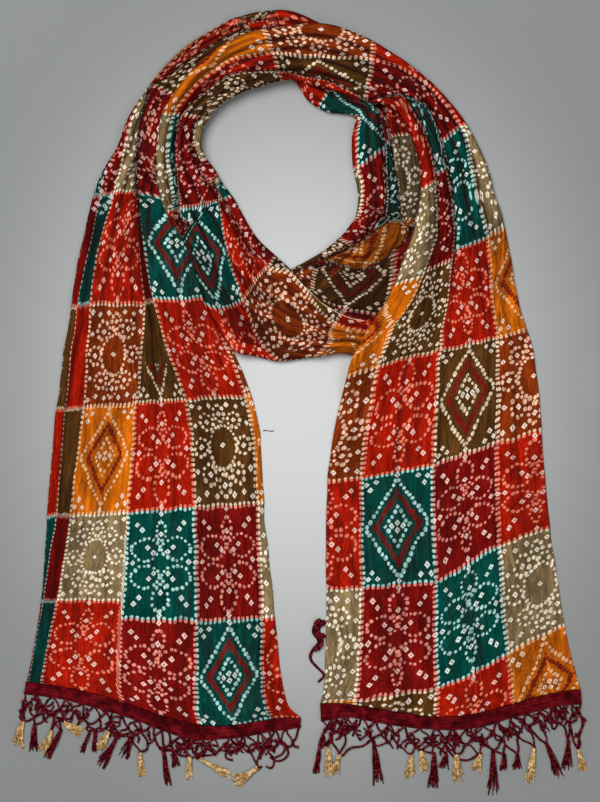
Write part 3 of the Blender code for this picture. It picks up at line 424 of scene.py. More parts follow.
def relief(run, at, across, width, length, lap):
    # the folds and crinkles, in millimetres above or below the smooth form, and the painted shade that
    # darkens each point in creases, valleys and hollows
    seed = run["seed"]
    a = (across - 0.5) * width
    b = length + 0 * across
    height = np.zeros_like(a)
    shade = np.zeros_like(a)
    pathWave, pathReach = crinkle["crease"]
    for reach, overlap, path in run["creases"]:
        rows, shares, depths = np.array(path, float).T
        share = np.interp(at, rows, shares)[:, None]
        depth = np.interp(at, rows, depths, left=0, right=0)[:, None]
        away = (across - share) * width + pathReach * waves(b / pathWave, b * 0 + reach, seed + 5)
        height -= depth * np.exp(-((away / reach) ** 2))
        side = -np.sign(overlap) if overlap else 1
        edge = 1 / (1 + np.exp(np.clip(-side * away / crinkle["lip"], -30, 30)))
        height += abs(overlap) * np.clip(depth, 0, 1.5) * np.exp(-np.abs(away) / crinkle["settle"]) * edge
        # painted shade along each crease
        shade = np.maximum(shade, np.clip(depth / 2.2, 0, 1) * np.exp(-((away / (0.52 * reach)) ** 2)))

    wide, long, warpReach = crinkle["warp"]
    warp = warpReach * waves(a / wide, b / long, seed + 1)

    def ridges(kind, step):
        wide, long, follow, narrow, peak, high = crinkle[kind]
        ridge = 1 - np.clip(np.abs(waves((a + follow * warp) / wide, b / long, seed + step)) * narrow, 0, 1)
        return ridge, high * ridge**peak

    wide, long, swell = crinkle["broad"]
    broad = waves((a + warp) / wide, b / long, seed + 2)
    strength = 0.55 + 0.45 * waves(a / 50, b / 90, seed + 6)
    crushed = swell * broad + strength * ridges("ridges", 3)[1] + ridges("fine", 4)[1] - 0.6
    pleats, pleatHeight = ridges("pleats", 7)
    height += crushed * (1 + 0.5 * lap) + lap * pleatHeight
    # painted shade in the narrow valleys between the crinkles, and in the broad hollows of the wraps
    valleyShade = smoothStep(-(crushed + 0.35 * pleats * lap), 0.0, 0.75) * (0.5 + 0.32 * lap)
    hollowShade = lap * 0.2 * smoothStep(-broad, 0.0, 0.7)
    return height, np.maximum(np.maximum(shade, hollowShade), valleyShade)


class PileGrid:
    # the height that an upper run lies at over lower ones, on a grid over the table

    def __init__(self, shells, reach=0.014):
        # reach, in metres, is how far the cloth stands off what it bridges over
        clearance, cell = 0.0006, 0.002
        slope = 0.42  # how steeply the cloth comes down
        self.cell = cell
        self.half = (0.285, 0.375)  # half the width and height of the grid
        columns, rows = (int(2 * side / cell) + 2 for side in self.half)
        heights = np.zeros((rows, columns))
        for points in shells:
            i = ((points[:, 0] + self.half[0]) / cell + 0.5).astype(int)
            j = ((points[:, 1] + self.half[1]) / cell + 0.5).astype(int)
            np.maximum.at(heights, (j, i), points[:, 2] + clearance)
        steps = int(reach / cell)
        lifted = heights.copy()
        for dj in range(-steps, steps + 1):
            for di in range(-steps, steps + 1):
                if math.hypot(di, dj) * cell <= reach:
                    lifted = np.maximum(lifted, np.roll(heights, (dj, di), (0, 1)))
        for _ in range(int(lifted.max() / (slope * cell)) + 1):
            for axis in (0, 1):
                for step in (-1, 1):
                    lifted = np.maximum(lifted, np.roll(lifted, step, axis) - slope * cell)
        for _ in range(2):  # softens the corners that the highest points leave
            for axis in (0, 1):
                lifted = (np.roll(lifted, 1, axis) + 2 * lifted + np.roll(lifted, -1, axis)) / 4
        self.heights = lifted

    def at(self, x, y):
        u = (x + self.half[0]) / self.cell
        v = (y + self.half[1]) / self.cell
        i, j = u.astype(int), v.astype(int)
        s, t = u - i, v - j
        grid = self.heights
        low = grid[j, i] * (1 - s) + grid[j, i + 1] * s
        high = grid[j + 1, i] * (1 - s) + grid[j + 1, i + 1] * s
        return low * (1 - t) + high * t


def closedSkin(name, points, material):
    # a closed skin over rings of points with its two ends filled, and the point that each vertex came from
    rowCount, ringCount = points.shape[0] - 1, points.shape[1] - 1
    bm = bmesh.new()
    bmesh.ops.create_grid(bm, x_segments=ringCount, y_segments=rowCount, size=1)
    spotLayer = bm.verts.layers.int.new("spot")
    places = points.reshape(-1, 3)
    for vert in bm.verts:
        i = round((vert.co.x + 1) / 2 * ringCount)
        j = round((vert.co.y + 1) / 2 * rowCount)
        vert[spotLayer] = j * (ringCount + 1) + i
        vert.co = places[vert[spotLayer]]
    bmesh.ops.remove_doubles(bm, verts=bm.verts, dist=1e-6)
    bmesh.ops.holes_fill(bm, edges=[edge for edge in bm.edges if edge.is_boundary], sides=0)
    bmesh.ops.triangulate(bm, faces=[face for face in bm.faces if len(face.verts) > 4])
    bmesh.ops.recalc_face_normals(bm, faces=bm.faces)
    mesh = bpy.data.meshes.new(name)
    bm.to_mesh(mesh)
    bm.free()
    mesh.shade_smooth()
    mesh.materials.append(material)
    spots = np.empty(len(mesh.vertices), np.int32)
    mesh.attributes["spot"].data.foreach_get("value", spots)
    mesh.attributes.remove(mesh.attributes["spot"])
    piece = bpy.data.objects.new(name, mesh)
    bpy.context.scene.collection.objects.link(piece)
    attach(piece, "root")
    return piece, spots


shell = {
    "stepAlong": 1.5,  # millimetres of crinkled cloth along a face
    "takeUp": 1.15,  # how much more cloth there is than its smooth form shows: the crinkles take it up
    "rimSteps": 10,  # points up each rolled edge
    "underSteps": 10,  # faces across each half of the underside
    "flatCrest": 4.5,  # up to this height in millimetres the cloth lies flat
    "wrapCrest": 9.0,  # from this height on it is a rolled wrap
    "layers": 2.5,  # folds that show in the edge of a rolled wrap
    "drift": (22, 0.9),  # length of the waves in the long edges, and how far they reach, in plan units
    "thinnest": 0.9,  # millimetres
    "lowest": 0.0002,  # metres above the table, for cloth that lies on it
    "groove": 6,  # mesh columns that a folded-away stretch reaches on either side
}


def clothShell(name, run, first, last, stepAcross, pile, material):
    mm = layout["mm"]
    unit = layout["unit"] / mm
    seed = run["seed"]
    lengthsAt, lengths = runLengths(run)
    firstLength, lastLength = np.interp((first, last), lengthsAt, lengths)
    rowCount = int((lastLength - firstLength) * unit * shell["takeUp"] / shell["stepAlong"])
    at = np.interp(np.linspace(firstLength, lastLength, rowCount + 1), lengths, lengthsAt)
    length = np.interp(at, lengthsAt, lengths)[:, None]
    leftX, leftY, rightX, rightY, sag, crest, edge = (c[:, None] for c in smoothRows(run["sections"], at).T)
    width = np.hypot(rightX - leftX, rightY - leftY)
    topCount = int(width.max() * unit / stepAcross)
    lap = smoothStep(crest, shell["flatCrest"], shell["wrapCrest"])  # how far the stretch is bunched, 0 to 1
    crown = 8 - 5.6 * lap  # how square the section stands

    # once round the section, from the middle of the underside: share across, and share of the edge's height
    rim, under = shell["rimSteps"], shell["underSteps"]
    roll = edge * 0.5 / (width * unit)
    down = np.linspace(1, 0, rim + 2)[1:-1]
    wander = 0.5 * waves(length / 55, length * 0 + 4, seed + 9)
    bulge = np.sqrt(np.clip(1 - (2 * down - 1) ** 2, 0, 1))
    pinch = 0.5 * lap * (1 - np.abs(np.sin(math.pi * shell["layers"] * (down + 0.12 * wander)))) ** 2
    pull = roll * (1 - bulge * (1 - pinch))
    foot = roll * 0.6
    inward = (0.5 - foot) * np.linspace(0, 1, under + 1)
    topShares = roll + (1 - 2 * roll) * np.linspace(0, 1, topCount + 1)
    ringShares = np.hstack([0.5 - inward, pull[:, ::-1], topShares, 1 - pull, 1 - foot - inward])
    flatUnder = np.zeros(under + 1)
    ringLevels = np.concatenate([flatUnder, down[::-1], np.ones(topCount + 1), down, flatUnder])
    topFirst = under + 1 + rim
    topLast = topFirst + topCount
    onTop = np.zeros(ringShares.shape[1], bool)
    onTop[topFirst : topLast + 1] = True

    # the long edges wander a little, as crinkled cloth does
    driftWave, driftReach = shell["drift"]
    leftDrift = driftReach * waves(length / driftWave, length * 0, seed + 10) / width
    rightDrift = driftReach * waves(length / driftWave, length * 0 + 7, seed + 11) / width
    drifted = ringShares + leftDrift * (1 - ringShares) + rightDrift * ringShares
    planX = leftX + (rightX - leftX) * drifted
    planY = leftY + (rightY - leftY) * drifted
    planY += sag * np.sin(math.pi * np.clip(ringShares, 0, 1) ** run["sagSkew"]) ** 2
    x, y = toWorld(planX, planY)
    ground = pile.at(x, y) if pile else 0 * x
    body = edge + (crest - edge) * np.sqrt(np.clip(1 - np.abs(2 * ringShares - 1) ** crown, 0, 1))
    columns, rows = dyeAt(run, at, np.clip(ringShares, 0, 1))
    spacing = np.maximum(np.abs(np.gradient(ringShares, axis=1)), 1e-4)
    squeeze = np.abs(np.gradient(columns, axis=1)) / spacing * layout["squareWidth"] / width
    squeeze = np.where(onTop, squeeze, 0)
    folds, shade = relief(run, at, ringShares, width, length, lap)
    # where the dye jumps, the cloth between is folded away: a deep groove, with painted shade at its foot
    jump = smoothStep(squeeze, 4.0, 10.0)
    groove, dark = np.zeros_like(jump), np.zeros_like(jump)
    for step in range(-shell["groove"], shell["groove"] + 1):
        moved = np.roll(jump, step, axis=1)
        groove = np.maximum(groove, moved * math.exp(-((step / 3) ** 2)))
        dark = np.maximum(dark, moved * math.exp(-((step / 2) ** 2)))
    folds -= (0.5 + 3.2 * lap) * groove
    shade = np.maximum(shade, 0.9 * dark * smoothStep(lap, 0.1, 0.5))
    # painted shade down the rolled edges and over the underside
    shade = np.where(onTop, shade, np.maximum(shade, 0.55))
    top = np.maximum(body + folds * smoothStep(edge, 1.0, 2.2), shell["thinnest"])
    rimHeight = np.where(ringShares < 0.5, top[:, [topFirst]], top[:, [topLast]])
    z = np.where(onTop, top, ringLevels * rimHeight) * mm + ground
    if not pile:
        z = np.maximum(z, shell["lowest"])
    points = np.stack([x, y, z], axis=2)

    cloth, spots = closedSkin(name, points, material)
    mesh = cloth.data
    corners = np.empty(len(mesh.loops), np.int32)
    mesh.loops.foreach_get("vertex_index", corners)
    dye = np.stack([columns.reshape(-1), rows.reshape(-1)], axis=1)[spots][corners]
    mesh.uv_layers.new(name="dye").data.foreach_set("uv", dye.astype(np.float32).reshape(-1))
    for label, values in (("foldShade", shade), ("squeeze", squeeze), ("bunched", lap + 0 * shade)):
        data = mesh.attributes.new(label, "FLOAT", "POINT").data
        data.foreach_set("value", values.reshape(-1)[spots].astype(np.float32))
    print(name, len(mesh.polygons), "faces")
    upper = points[:, onTop]
    # the crinkles run along the cloth, so flat it is wider than it lies, and no longer
    flat = (float(width.mean() * unit * mm) * shell["takeUp"], float((lastLength - firstLength) * unit * mm))
    return cloth, {"shell": upper.reshape(-1, 3), "rightEdge": upper[:, -1], "at": at, "flat": flat}


def linear(hexColour, alpha=1):
    # an sRGB hex value as a linear colour
    levels = [int(hexColour[i : i + 2], 16) / 255 for i in (0, 2, 4)]
    return *[c / 12.92 if c <= 0.04045 else ((c + 0.055) / 1.055) ** 2.4 for c in levels], alpha


def addNode(material, kind, inputs=None, **settings):
    # adds a node, sets it up, and gives its inputs their values or links
    node = material.node_tree.nodes.new("ShaderNode" + kind)
    for key, value in settings.items():
        setattr(node, key, value)
    for key, value in (inputs or {}).items():
        if isinstance(value, bpy.types.NodeSocket):
            material.node_tree.links.new(value, node.inputs[key])
        else:
            node.inputs[key].default_value = value
    return node


def newMaterial(name):
    material = bpy.data.materials.new(name)
    material.use_nodes = True
    material.node_tree.nodes.clear()
    return material


silk = {
    # each dye, and what it leaves of itself in a tied dot
    "dyes": {
        "red": ("AE1C09", "FA8468"),
        "maroon": ("80120E", "F29484"),
        "teal": ("054840", "B4E2DA"),
        "olive": ("5C3A18", "EED6B4"),
        "taupe": ("947C56", "FFF0D0"),
        "orange": ("E0700E", "FFC088"),
        "brown": ("8E360E", "FFC8A6"),
    },
    # dye and motif of the squares: four rows of squares in each of three columns, over and over
    "squares": (
        ("maroon", "petals"), ("teal", "petals"), ("red", "petals"), ("olive", "diamonds"),
        ("teal", "diamonds"), ("maroon", "petals"), ("olive", "rounds"), ("red", "petals"),
        ("red", "petals"), ("taupe", "rounds"), ("orange", "diamonds"), ("brown", "rounds"),
    ),
    # Each motif has a level, by which its squares know it. Rings are the places of single ring dots. An oval
    # of dots holds its middle, its half width and half height, the number and size of its dots, "rise" if it
    # shows above and below or "y" if only once, and over 1 how far it is drawn out to four points. A diamond
    # of dots holds how far out it reaches, how far apart its dots are, and their size. Places are shares of a
    # square from its middle, sizes are shares of a dot's, and every mark shows on the left and on the right.
    "motifs": {
        "petals": {  # four large petals, a small one above and a wider one below
            "level": 0.0,
            "rings": (
                (0, 0.27), (0, 0.467), (0.1, 0.1), (0.175, 0.148),
                (0.35, 0.37), (0.28, 0.315), (0.4, 0), (0.49, 0),
            ),
            "ovals": (
                (0.152, 0.13, 0.145, 0.106, 17, 0.95, "rise", 1.18),
                (0, -0.3, 0.05, 0.098, 11, 0.95, "y", 1.15),
                (0, 0.32, 0.085, 0.115, 13, 0.95, "y", 1.15),
            ),
        },
        "diamonds": {  # one inside another, a dark one between them, and dots at the middle, stem and corners
            "level": 0.5,
            "rings": ((0, 0.03), (0.08, 0), (0.38, 0.36), (0.43, 0.42), (0.3, 0.43), (0, 0.47)),
            "diamonds": ((0.432, 0.0785, 1.15), (0.165, 0.0825, 1.1)),
            "darkDiamonds": ((0.3, 0.0667, 1.6),),
        },
        "rounds": {  # a bare ring round one dot, and eight dotted petals with ring dots among them
            "level": 1.0,
            "rings": (
                (0, 0), (0, 0.335), (0.336, 0), (0.22, 0.25),
                (0.42, 0.22), (0.3, 0.4), (0.43, 0.43), (0.14, 0.42),
            ),
            "ovals": (
                (0, 0, 0.15, 0.205, 24, 1.08, "rise", 1),
                (0, 0.335, 0.06, 0.085, 9, 1.12, "rise", 1),
                (0.235, 0, 0.07, 0.085, 9, 1.12, "rise", 1),
                (0.155, 0.25, 0.07, 0.085, 9, 1.12, "rise", 1),
            ),
        },
    },
    "narrow": 0.7,  # a square's width in the pattern, for a length of 90 mm
    "dot": 0.0158,  # radius of a dot in the rows and rings of dots
    "ring": 0.0295,  # from the middle of a single ring dot to its corners
    "shake": 0.011,  # how far a dot may stray in all
    "border": (0.011, 20, 14, 0.0155),  # dots inside the sides: how far in, number along and across, radius
    "band": "7A1414",
    "halo": "1D1010",  # dye that gathered round the ties
    "ringDot": "FFF2E6",
    # painted shade laid over the folds and creases
    "fold": "1D0D0D",
    "noises": {
        # stretch across and along, scale, detail, distortion, and whether it follows the wavering of the dye
        "speckle": ((1, 1, 1), 21.0, 2.0, 0.0, False),
        "blotch": ((1, 1, 1), 3.2, 5.0, 0.0, False),
        # painted shade of the fine crinkles along the cloth
        "streakShade": ((11.0, 1.6, 1.0), 1.4, 2.0, 0.0, False),
        "crush": ((10.0, 5.0, 1.0), 1.0, 1.0, 0.9, True),
        "wrinkle": ((17.0, 3.4, 1.0), 1.3, 2.0, 0.0, True),  # too fine for the mesh, 2 to 4 mm apart
    },
}


def clothMaterial():
    # crinkled art silk, tie-dyed in squares: matt colour with painted shade in its streaks, creases and
    # folds, pale dots where the ties kept the dye out
    material = newMaterial("crinkledArtSilk")
    uv = addNode(material, "UVMap", uv_map="dye").outputs[0]
    wobble = addNode(material, "TexNoise", {"Vector": uv, "Scale": 4.0, "Detail": 1.0}, noise_dimensions="2D")
    inputs = {0: wobble.outputs["Color"], 1: (0.5, 0.5, 0.5)}
    centred = addNode(material, "VectorMath", inputs, operation="SUBTRACT").outputs[0]
    inputs = {0: centred, 1: (0.05, 0.05, 0.0), 2: uv}
    shaken = addNode(material, "VectorMath", inputs, operation="MULTIPLY_ADD").outputs[0]
    split = addNode(material, "SeparateXYZ", {0: shaken})
    known = {"u": split.outputs[0], "v": split.outputs[1]}
    for label in ("squeeze", "bunched", "foldShade"):
        known[label] = addNode(material, "Attribute", attribute_name=label).outputs["Fac"]
    for name, (stretch, scale, detail, distortion, wavers) in silk["noises"].items():
        drawn = addNode(material, "Mapping", {0: shaken if wavers else uv, 3: stretch})
        inputs = {"Vector": drawn.outputs[0], "Scale": scale, "Detail": detail, "Distortion": distortion}
        known[name] = addNode(material, "TexNoise", inputs, noise_dimensions="2D").outputs[0]

    def work(steps):
        # each step names a result, an operation and what it reads; RANGE takes one span of values to another
        for name, operation, *sources in steps:
            inputs = {i: known.get(source, source) for i, source in enumerate(sources)}
            kind, settings = ("MapRange", {}) if operation == "RANGE" else ("Math", {"operation": operation})
            known[name] = addNode(material, kind, inputs, **settings).outputs[0]

    narrow = silk["narrow"]
    farOff = 9.0  # stands for no dot near: more than any distance that shows
    kindsUp = 4
    kindCount = len(silk["squares"])
    work((
        ("column", "FLOOR", "u"),
        ("row", "FLOOR", "v"),
        ("columnKind", "FLOORED_MODULO", "column", kindCount / kindsUp),
        ("rowKind", "FLOORED_MODULO", "row", kindsUp),
        ("square", "MULTIPLY_ADD", "columnKind", kindsUp, "rowKind"),
        ("place", "MULTIPLY_ADD", "square", 1 / kindCount, 0.5 / kindCount),
        ("uPart", "SUBTRACT", "u", "column"),
        ("vPart", "SUBTRACT", "v", "row"),
        ("x", "SUBTRACT", "uPart", 0.5),
        ("y", "SUBTRACT", 0.5, "vPart"),
        ("side", "ABSOLUTE", "x"),
        ("rise", "ABSOLUTE", "y"),
        ("across", "MULTIPLY", "side", narrow),
        # a number of its own for every quarter of every square, to shake its dots by
        ("isRight", "GREATER_THAN", "x", 0.0),
        ("isLow", "GREATER_THAN", "y", 0.0),
        ("quarter", "MULTIPLY_ADD", "isRight", 0.37, "column"),
        ("quarterRow", "MULTIPLY_ADD", "isLow", 0.41, "row"),
    ))

    def squareRamp(levels):
        # one colour for each kind of square
        ramp = addNode(material, "ValToRGB", {0: known["place"]})
        ramp.color_ramp.interpolation = "CONSTANT"
        stops = ramp.color_ramp.elements
        stops[1].position = 1 / kindCount
        for k in range(2, kindCount):
            stops.new(k / kindCount)
        for stop, level in zip(stops, levels):
            stop.color = level
        return ramp

    kinds = [(*silk["dyes"][dye], silk["motifs"][motif]["level"]) for dye, motif in silk["squares"]]
    grounds = squareRamp([linear(ground, level) for ground, _, level in kinds])
    tied = squareRamp([linear(dot) for _, dot, _ in kinds]).outputs[0]
    known["motif"] = grounds.outputs[1]

    def ringDots(name, places):
        # how far it is to the nearest of a few single dots, corner to corner, as a share of their half width
        here = addNode(material, "CombineXYZ", {0: known["across"], 1: known["rise"]}).outputs[0]
        known[name] = farOff
        for px, py in places:
            inputs = {0: here, 1: (px * narrow, py, 0)}
            off = addNode(material, "VectorMath", inputs, operation="SUBTRACT").outputs[0]
            off = addNode(material, "VectorMath", {0: off}, operation="ABSOLUTE").outputs[0]
            near = addNode(material, "VectorMath", {0: off, 1: (1, 1, 0)}, operation="DOT_PRODUCT").outputs[1]
            work(((name, "MINIMUM", near, name),))
        work(((name, "DIVIDE", name, silk["ring"]),))

    def shakenDot(name, size):
        # how far it is to a dot from its offset, when the dot is shaken out of place and out of size
        own = [known[key] for key in ("whole", "quarter", "quarterRow")]
        seed = addNode(material, "CombineXYZ", dict(enumerate(own)))
        noise = addNode(material, "TexWhiteNoise", {"Vector": seed.outputs[0]}, noise_dimensions="3D")
        parts = addNode(material, "SeparateXYZ", {0: noise.outputs["Color"]})
        known.update(shakeX=parts.outputs[0], shakeY=parts.outputs[1], shakeSize=parts.outputs[2])
        work((
            ("dx", "MULTIPLY_ADD", "shakeX", silk["shake"], "dx"),
            ("dy", "MULTIPLY_ADD", "shakeY", silk["shake"], "dy"),
            ("dx", "SUBTRACT", "dx", silk["shake"] / 2),
            ("dy", "SUBTRACT", "dy", silk["shake"] / 2),
            ("dx2", "MULTIPLY", "dx", "dx"),
            ("sum", "MULTIPLY_ADD", "dy", "dy", "dx2"),
            ("far", "SQRT", "sum"),
            ("dotSize", "MULTIPLY_ADD", "shakeSize", silk["dot"] * size * 0.45, silk["dot"] * size * 0.8),
            (name, "DIVIDE", "far", "dotSize"),
        ))

    def bend(name, power):
        # raises a number to a power and keeps its sign
        work((
            ("bent", "ABSOLUTE", name),
            ("bent", "POWER", "bent", power),
            (name, "SIGN", name),
            (name, "MULTIPLY", name, "bent"),
        ))

    def dottedOval(name, cx, cy, rx, ry, count, size, up, point):
        turn = 2 * math.pi / count
        work((
            ("ox", "SUBTRACT", "across", cx),
            ("oy", "SUBTRACT", up, cy),
            ("ex", "DIVIDE", "ox", rx),
            ("ey", "DIVIDE", "oy", ry),
        ))
        if point > 1:
            bend("ex", 1 / point)
            bend("ey", 1 / point)
        work((
            ("angle", "ARCTAN2", "ey", "ex"),
            ("turns", "DIVIDE", "angle", turn),
            ("whole", "ROUND", "turns"),
            ("snapped", "MULTIPLY", "whole", turn),
            ("cosine", "COSINE", "snapped"),
            ("sine", "SINE", "snapped"),
        ))
        if point > 1:
            bend("cosine", point)
            bend("sine", point)
        work((
            ("dx", "MULTIPLY_ADD", "cosine", -rx, "ox"),
            ("dy", "MULTIPLY_ADD", "sine", -ry, "oy"),
        ))
        shakenDot(name, size)

    def dottedDiamond(name, reach, pitch, size):
        work((
            ("s", "ADD", "side", "rise"),
            ("t", "SUBTRACT", "side", "rise"),
            ("ds", "SUBTRACT", "s", reach),
            ("tSteps", "DIVIDE", "t", pitch),
            ("whole", "ROUND", "tSteps"),
            ("dt", "MULTIPLY_ADD", "whole", -pitch, "t"),
            ("dx", "ADD", "ds", "dt"),
            ("dy", "SUBTRACT", "ds", "dt"),
            ("dx", "MULTIPLY", "dx", narrow / 2),
            ("dy", "MULTIPLY", "dy", 0.5),
        ))
        shakenDot(name, size)

    # all the marks: how far it is to the nearest dot, ring dot and dark dot of the motif that this square has
    known.update(dots=farOff, rings=farOff, dark=farOff)
    for marks in silk["motifs"].values():
        known.update(ownDots=farOff, ownDark=farOff)
        ringDots("ownRings", marks["rings"])
        for drawn, draw, kind in (
            ("ownDots", dottedOval, "ovals"),
            ("ownDots", dottedDiamond, "diamonds"),
            ("ownDark", dottedDiamond, "darkDiamonds"),
        ):
            for mark in marks.get(kind, ()):
                draw("mark", *mark)
                work(((drawn, "MINIMUM", drawn, "mark"),))
        work((
            ("other", "SUBTRACT", "motif", marks["level"]),
            ("other", "ABSOLUTE", "other"),
            ("other", "GREATER_THAN", "other", 0.25),
        ))
        for drawn, nearest in (("ownDots", "dots"), ("ownRings", "rings"), ("ownDark", "dark")):
            work((
                (drawn, "MULTIPLY_ADD", "other", farOff, drawn),
                (nearest, "MINIMUM", nearest, drawn),
            ))

    # the borders: a row of dots just inside each side of the square
    inset, countAlong, countAcross, borderDot = silk["border"]
    known["border"] = farOff
    for outward, outScale, along, count, alongScale in (
        ("side", narrow, "y", countAlong, 1),
        ("rise", 1, "x", countAcross, narrow),
    ):
        work((
            ("inward", "SUBTRACT", 0.5, outward),
            ("inward", "MULTIPLY_ADD", "inward", outScale, -inset),
            ("steps", "MULTIPLY", along, count),
            ("whole", "ROUND", "steps"),
            ("off", "SUBTRACT", "steps", "whole"),
            ("off", "MULTIPLY", "off", alongScale / count),
            ("sum", "MULTIPLY", "inward", "inward"),
            ("sum", "MULTIPLY_ADD", "off", "off", "sum"),
            ("far", "SQRT", "sum"),
            ("border", "MINIMUM", "border", "far"),
        ))

    # in the wraps, dots of several layers peep out between the folds
    work((
        ("flatter", "RANGE", "bunched", 0.3, 0.7, farOff, 0.0),
        ("opener", "RANGE", "squeeze", 1.9, 2.5, farOff, 0.0),
    ))
    place = addNode(material, "TexCoord").outputs["Object"]
    for name, cell, reach in (("looseRings", 0.0082, 0.3), ("looseDots", 0.0055, 0.26)):
        inputs = {"Vector": place, "Scale": 1 / cell, "Randomness": 0.9}
        scatter = addNode(material, "TexVoronoi", inputs, voronoi_dimensions="2D", distance="MANHATTAN")
        known["scatter"] = scatter.outputs["Distance"]
        work((
            ("scatter", "DIVIDE", "scatter", reach),
            ("scatter", "ADD", "scatter", "flatter"),
            (name, "ADD", "scatter", "opener"),
        ))

    work((
        # where folds squeeze the cloth, only the borders of its squares show
        ("hidden", "RANGE", "squeeze", 2.0, 3.0, 0.0, farOff),
        ("border", "DIVIDE", "border", borderDot),
        ("dots", "ADD", "dots", "hidden"),
        ("dots", "MINIMUM", "dots", "border"),
        ("dots", "MINIMUM", "dots", "looseDots"),
        ("rings", "ADD", "rings", "hidden"),
        ("rings", "MINIMUM", "rings", "looseRings"),
        ("dark", "ADD", "dark", "hidden"),
        ("dark", "RANGE", "dark", 0.75, 1.2, 0.9, 0.0),
        ("string", "RANGE", "dots", 0.88, 1.15, 1.0, 0.0),
        ("worn", "RANGE", "speckle", 0.32, 0.5, 0.5, 1.0),
        ("string", "MULTIPLY", "string", "worn"),
        ("ringOut", "RANGE", "rings", 0.85, 1.05, 1.0, 0.0),
        ("ringIn", "RANGE", "rings", 0.18, 0.34, 0.0, 1.0),
        ("ring", "MULTIPLY", "ringOut", "ringIn"),
        ("haloDots", "RANGE", "dots", 1.0, 1.55, 0.42, 0.0),
        ("haloRings", "RANGE", "rings", 1.0, 1.3, 0.5, 0.0),
        ("halo", "MAXIMUM", "haloDots", "haloRings"),
        # blotches lighter and darker at random; painted shade: streaks along the cloth where it was crushed,
        # and darker lines where the bump sinks along the crush
        ("blotch", "RANGE", "blotch", 0.3, 0.7, 0.7, 1.2),
        ("streakShade", "RANGE", "streakShade", 0.3, 0.72, 0.8, 1.14),
        ("crush", "SUBTRACT", "crush", 0.5),
        ("crush", "ABSOLUTE", "crush"),
        ("crease", "RANGE", "crush", 0.0, 0.16, 0.9, 1.04),
        ("swell", "RANGE", "crush", 0.0, 0.14, 0.0, 1.0),
        ("dim", "RANGE", "bunched", 0.2, 1.0, 1.0, 0.9),  # the wraps lie in their own shade
        ("toneAndShade", "MULTIPLY", "blotch", "streakShade"),
        ("toneAndShade", "MULTIPLY", "toneAndShade", "crease"),
        ("toneAndShade", "MULTIPLY", "toneAndShade", "dim"),
        # painted shade in the folds, a little weaker over the pale dots, and painted dark where the cloth is
        # folded away
        ("fold", "RANGE", "foldShade", 0.05, 1.0, 0.0, 0.88),
        ("shown", "MAXIMUM", "string", "ring"),
        ("shown", "MULTIPLY_ADD", "shown", -0.3, 1.0),
        ("fold", "MULTIPLY", "fold", "shown"),
        ("jump", "RANGE", "squeeze", 7.0, 16.0, 0.0, 0.75),
        ("fold", "MAXIMUM", "fold", "jump"),
        ("wrinkle", "MULTIPLY_ADD", "swell", 0.9, "wrinkle"),
    ))
    inputs = {0: grounds.outputs[0], "Scale": known["toneAndShade"]}
    colour = addNode(material, "VectorMath", inputs, operation="SCALE").outputs[0]
    pale = addNode(material, "MixRGB", {0: 0.5, 1: linear(silk["ringDot"]), 2: tied}).outputs[0]
    # the dark diamonds, halos and dots of the pattern, and last the painted shade
    for share, over in (
        ("dark", linear(silk["band"])),
        ("halo", linear(silk["halo"])),
        ("string", tied),
        ("ring", pale),
        ("fold", linear(silk["fold"])),
    ):
        colour = addNode(material, "MixRGB", {0: known[share], 1: colour, 2: over}).outputs[0]
    bump = addNode(material, "Bump", {"Strength": 0.75, "Distance": 0.0015, "Height": known["wrinkle"]})
    inputs = {"Base Color": colour, "Roughness": 0.7, "Specular IOR Level": 0.01, "Normal": bump.outputs[0]}
    shader = addNode(material, "BsdfPrincipled", inputs)
    addNode(material, "OutputMaterial", {0: shader.outputs[0]})
    return material


silkMaterial = clothMaterial()
runs = {"under": underRun, "over": overRun}
cloths, laid = {}, {}
piles = {None: None}  # the heaps that later stretches are laid over
for name, (runName, first, last, node, heap, stepAcross) in clothPieces.items():
    cloths[name], laid[name] = clothShell(
        name, runs[runName], first, last, stepAcross, piles[heap], silkMaterial
    )
    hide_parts(node)
    if name == "rightInnerCloth":
        piles["base"] = PileGrid([stretch["shell"] for stretch in laid.values()])
    if name == "frontCrossCloth":
        piles["tail"] = PileGrid([laid[name]["shell"]], reach=0.018)
        piles["tail"].heights = np.maximum(piles["tail"].heights, piles["base"].heights)
print("cloth laid")

# The fringe under each hem: a rolled heading strip, a net of cords with two rows of knots, and tassels.
# Depths are shares along the hem and how deep the strip is there, in plan units, as all the places are.
# A tangle has its first and last share along the hem and its number of loose cords. A tassel has its head,
# its tip, its yarn, and how far its strands spread.
leftFringe = {
    "depths": ((0, 12.5), (0.3, 14), (0.6, 15), (0.85, 13.5), (0.95, 13), (1, 9)),
    "columns": 19,
    "tangle": ((0.0, 0.25, 24), (0.25, 0.55, 14), (0.55, 0.93, 44)),
    "tassels": (
        (23, 721, 17, 747, "gold", 6), (35, 724, 33, 751, "maroon", 4), (52, 729, 43, 753, "gold", 6),
        (61, 730, 47, 758, "maroon", 3), (64, 722, 82, 733, "gold", 5), (90, 731, 82, 752, "maroon", 2),
        (96, 730, 94, 752, "maroon", 2), (109, 731, 98, 750, "gold", 5), (117, 736, 101, 766, "maroon", 5),
        (134, 733, 123, 757, "maroon", 5), (140, 752, 142, 776, "gold", 4), (163, 747, 168, 784, "maroon", 3),
        (174, 752, 176, 767, "maroon", 4), (190, 756, 189, 779, "gold", 3), (200, 758, 232, 776, "gold", 4),
        (258, 767, 235, 783, "gold", 6),
    ),
    "loops": (
        ((270, 740), (280, 742), (287, 748), (288, 754), (284, 759), (277, 761), (270, 757)),
        ((268, 752), (273, 757), (274, 763), (271, 768), (266, 766)),
        ((262, 766), (256, 770), (250, 773)),
        ((276, 742), (284, 745), (283, 753), (274, 758)),
        ((22, 700), (26, 708), (20, 716), (23, 721)),
    ),
}
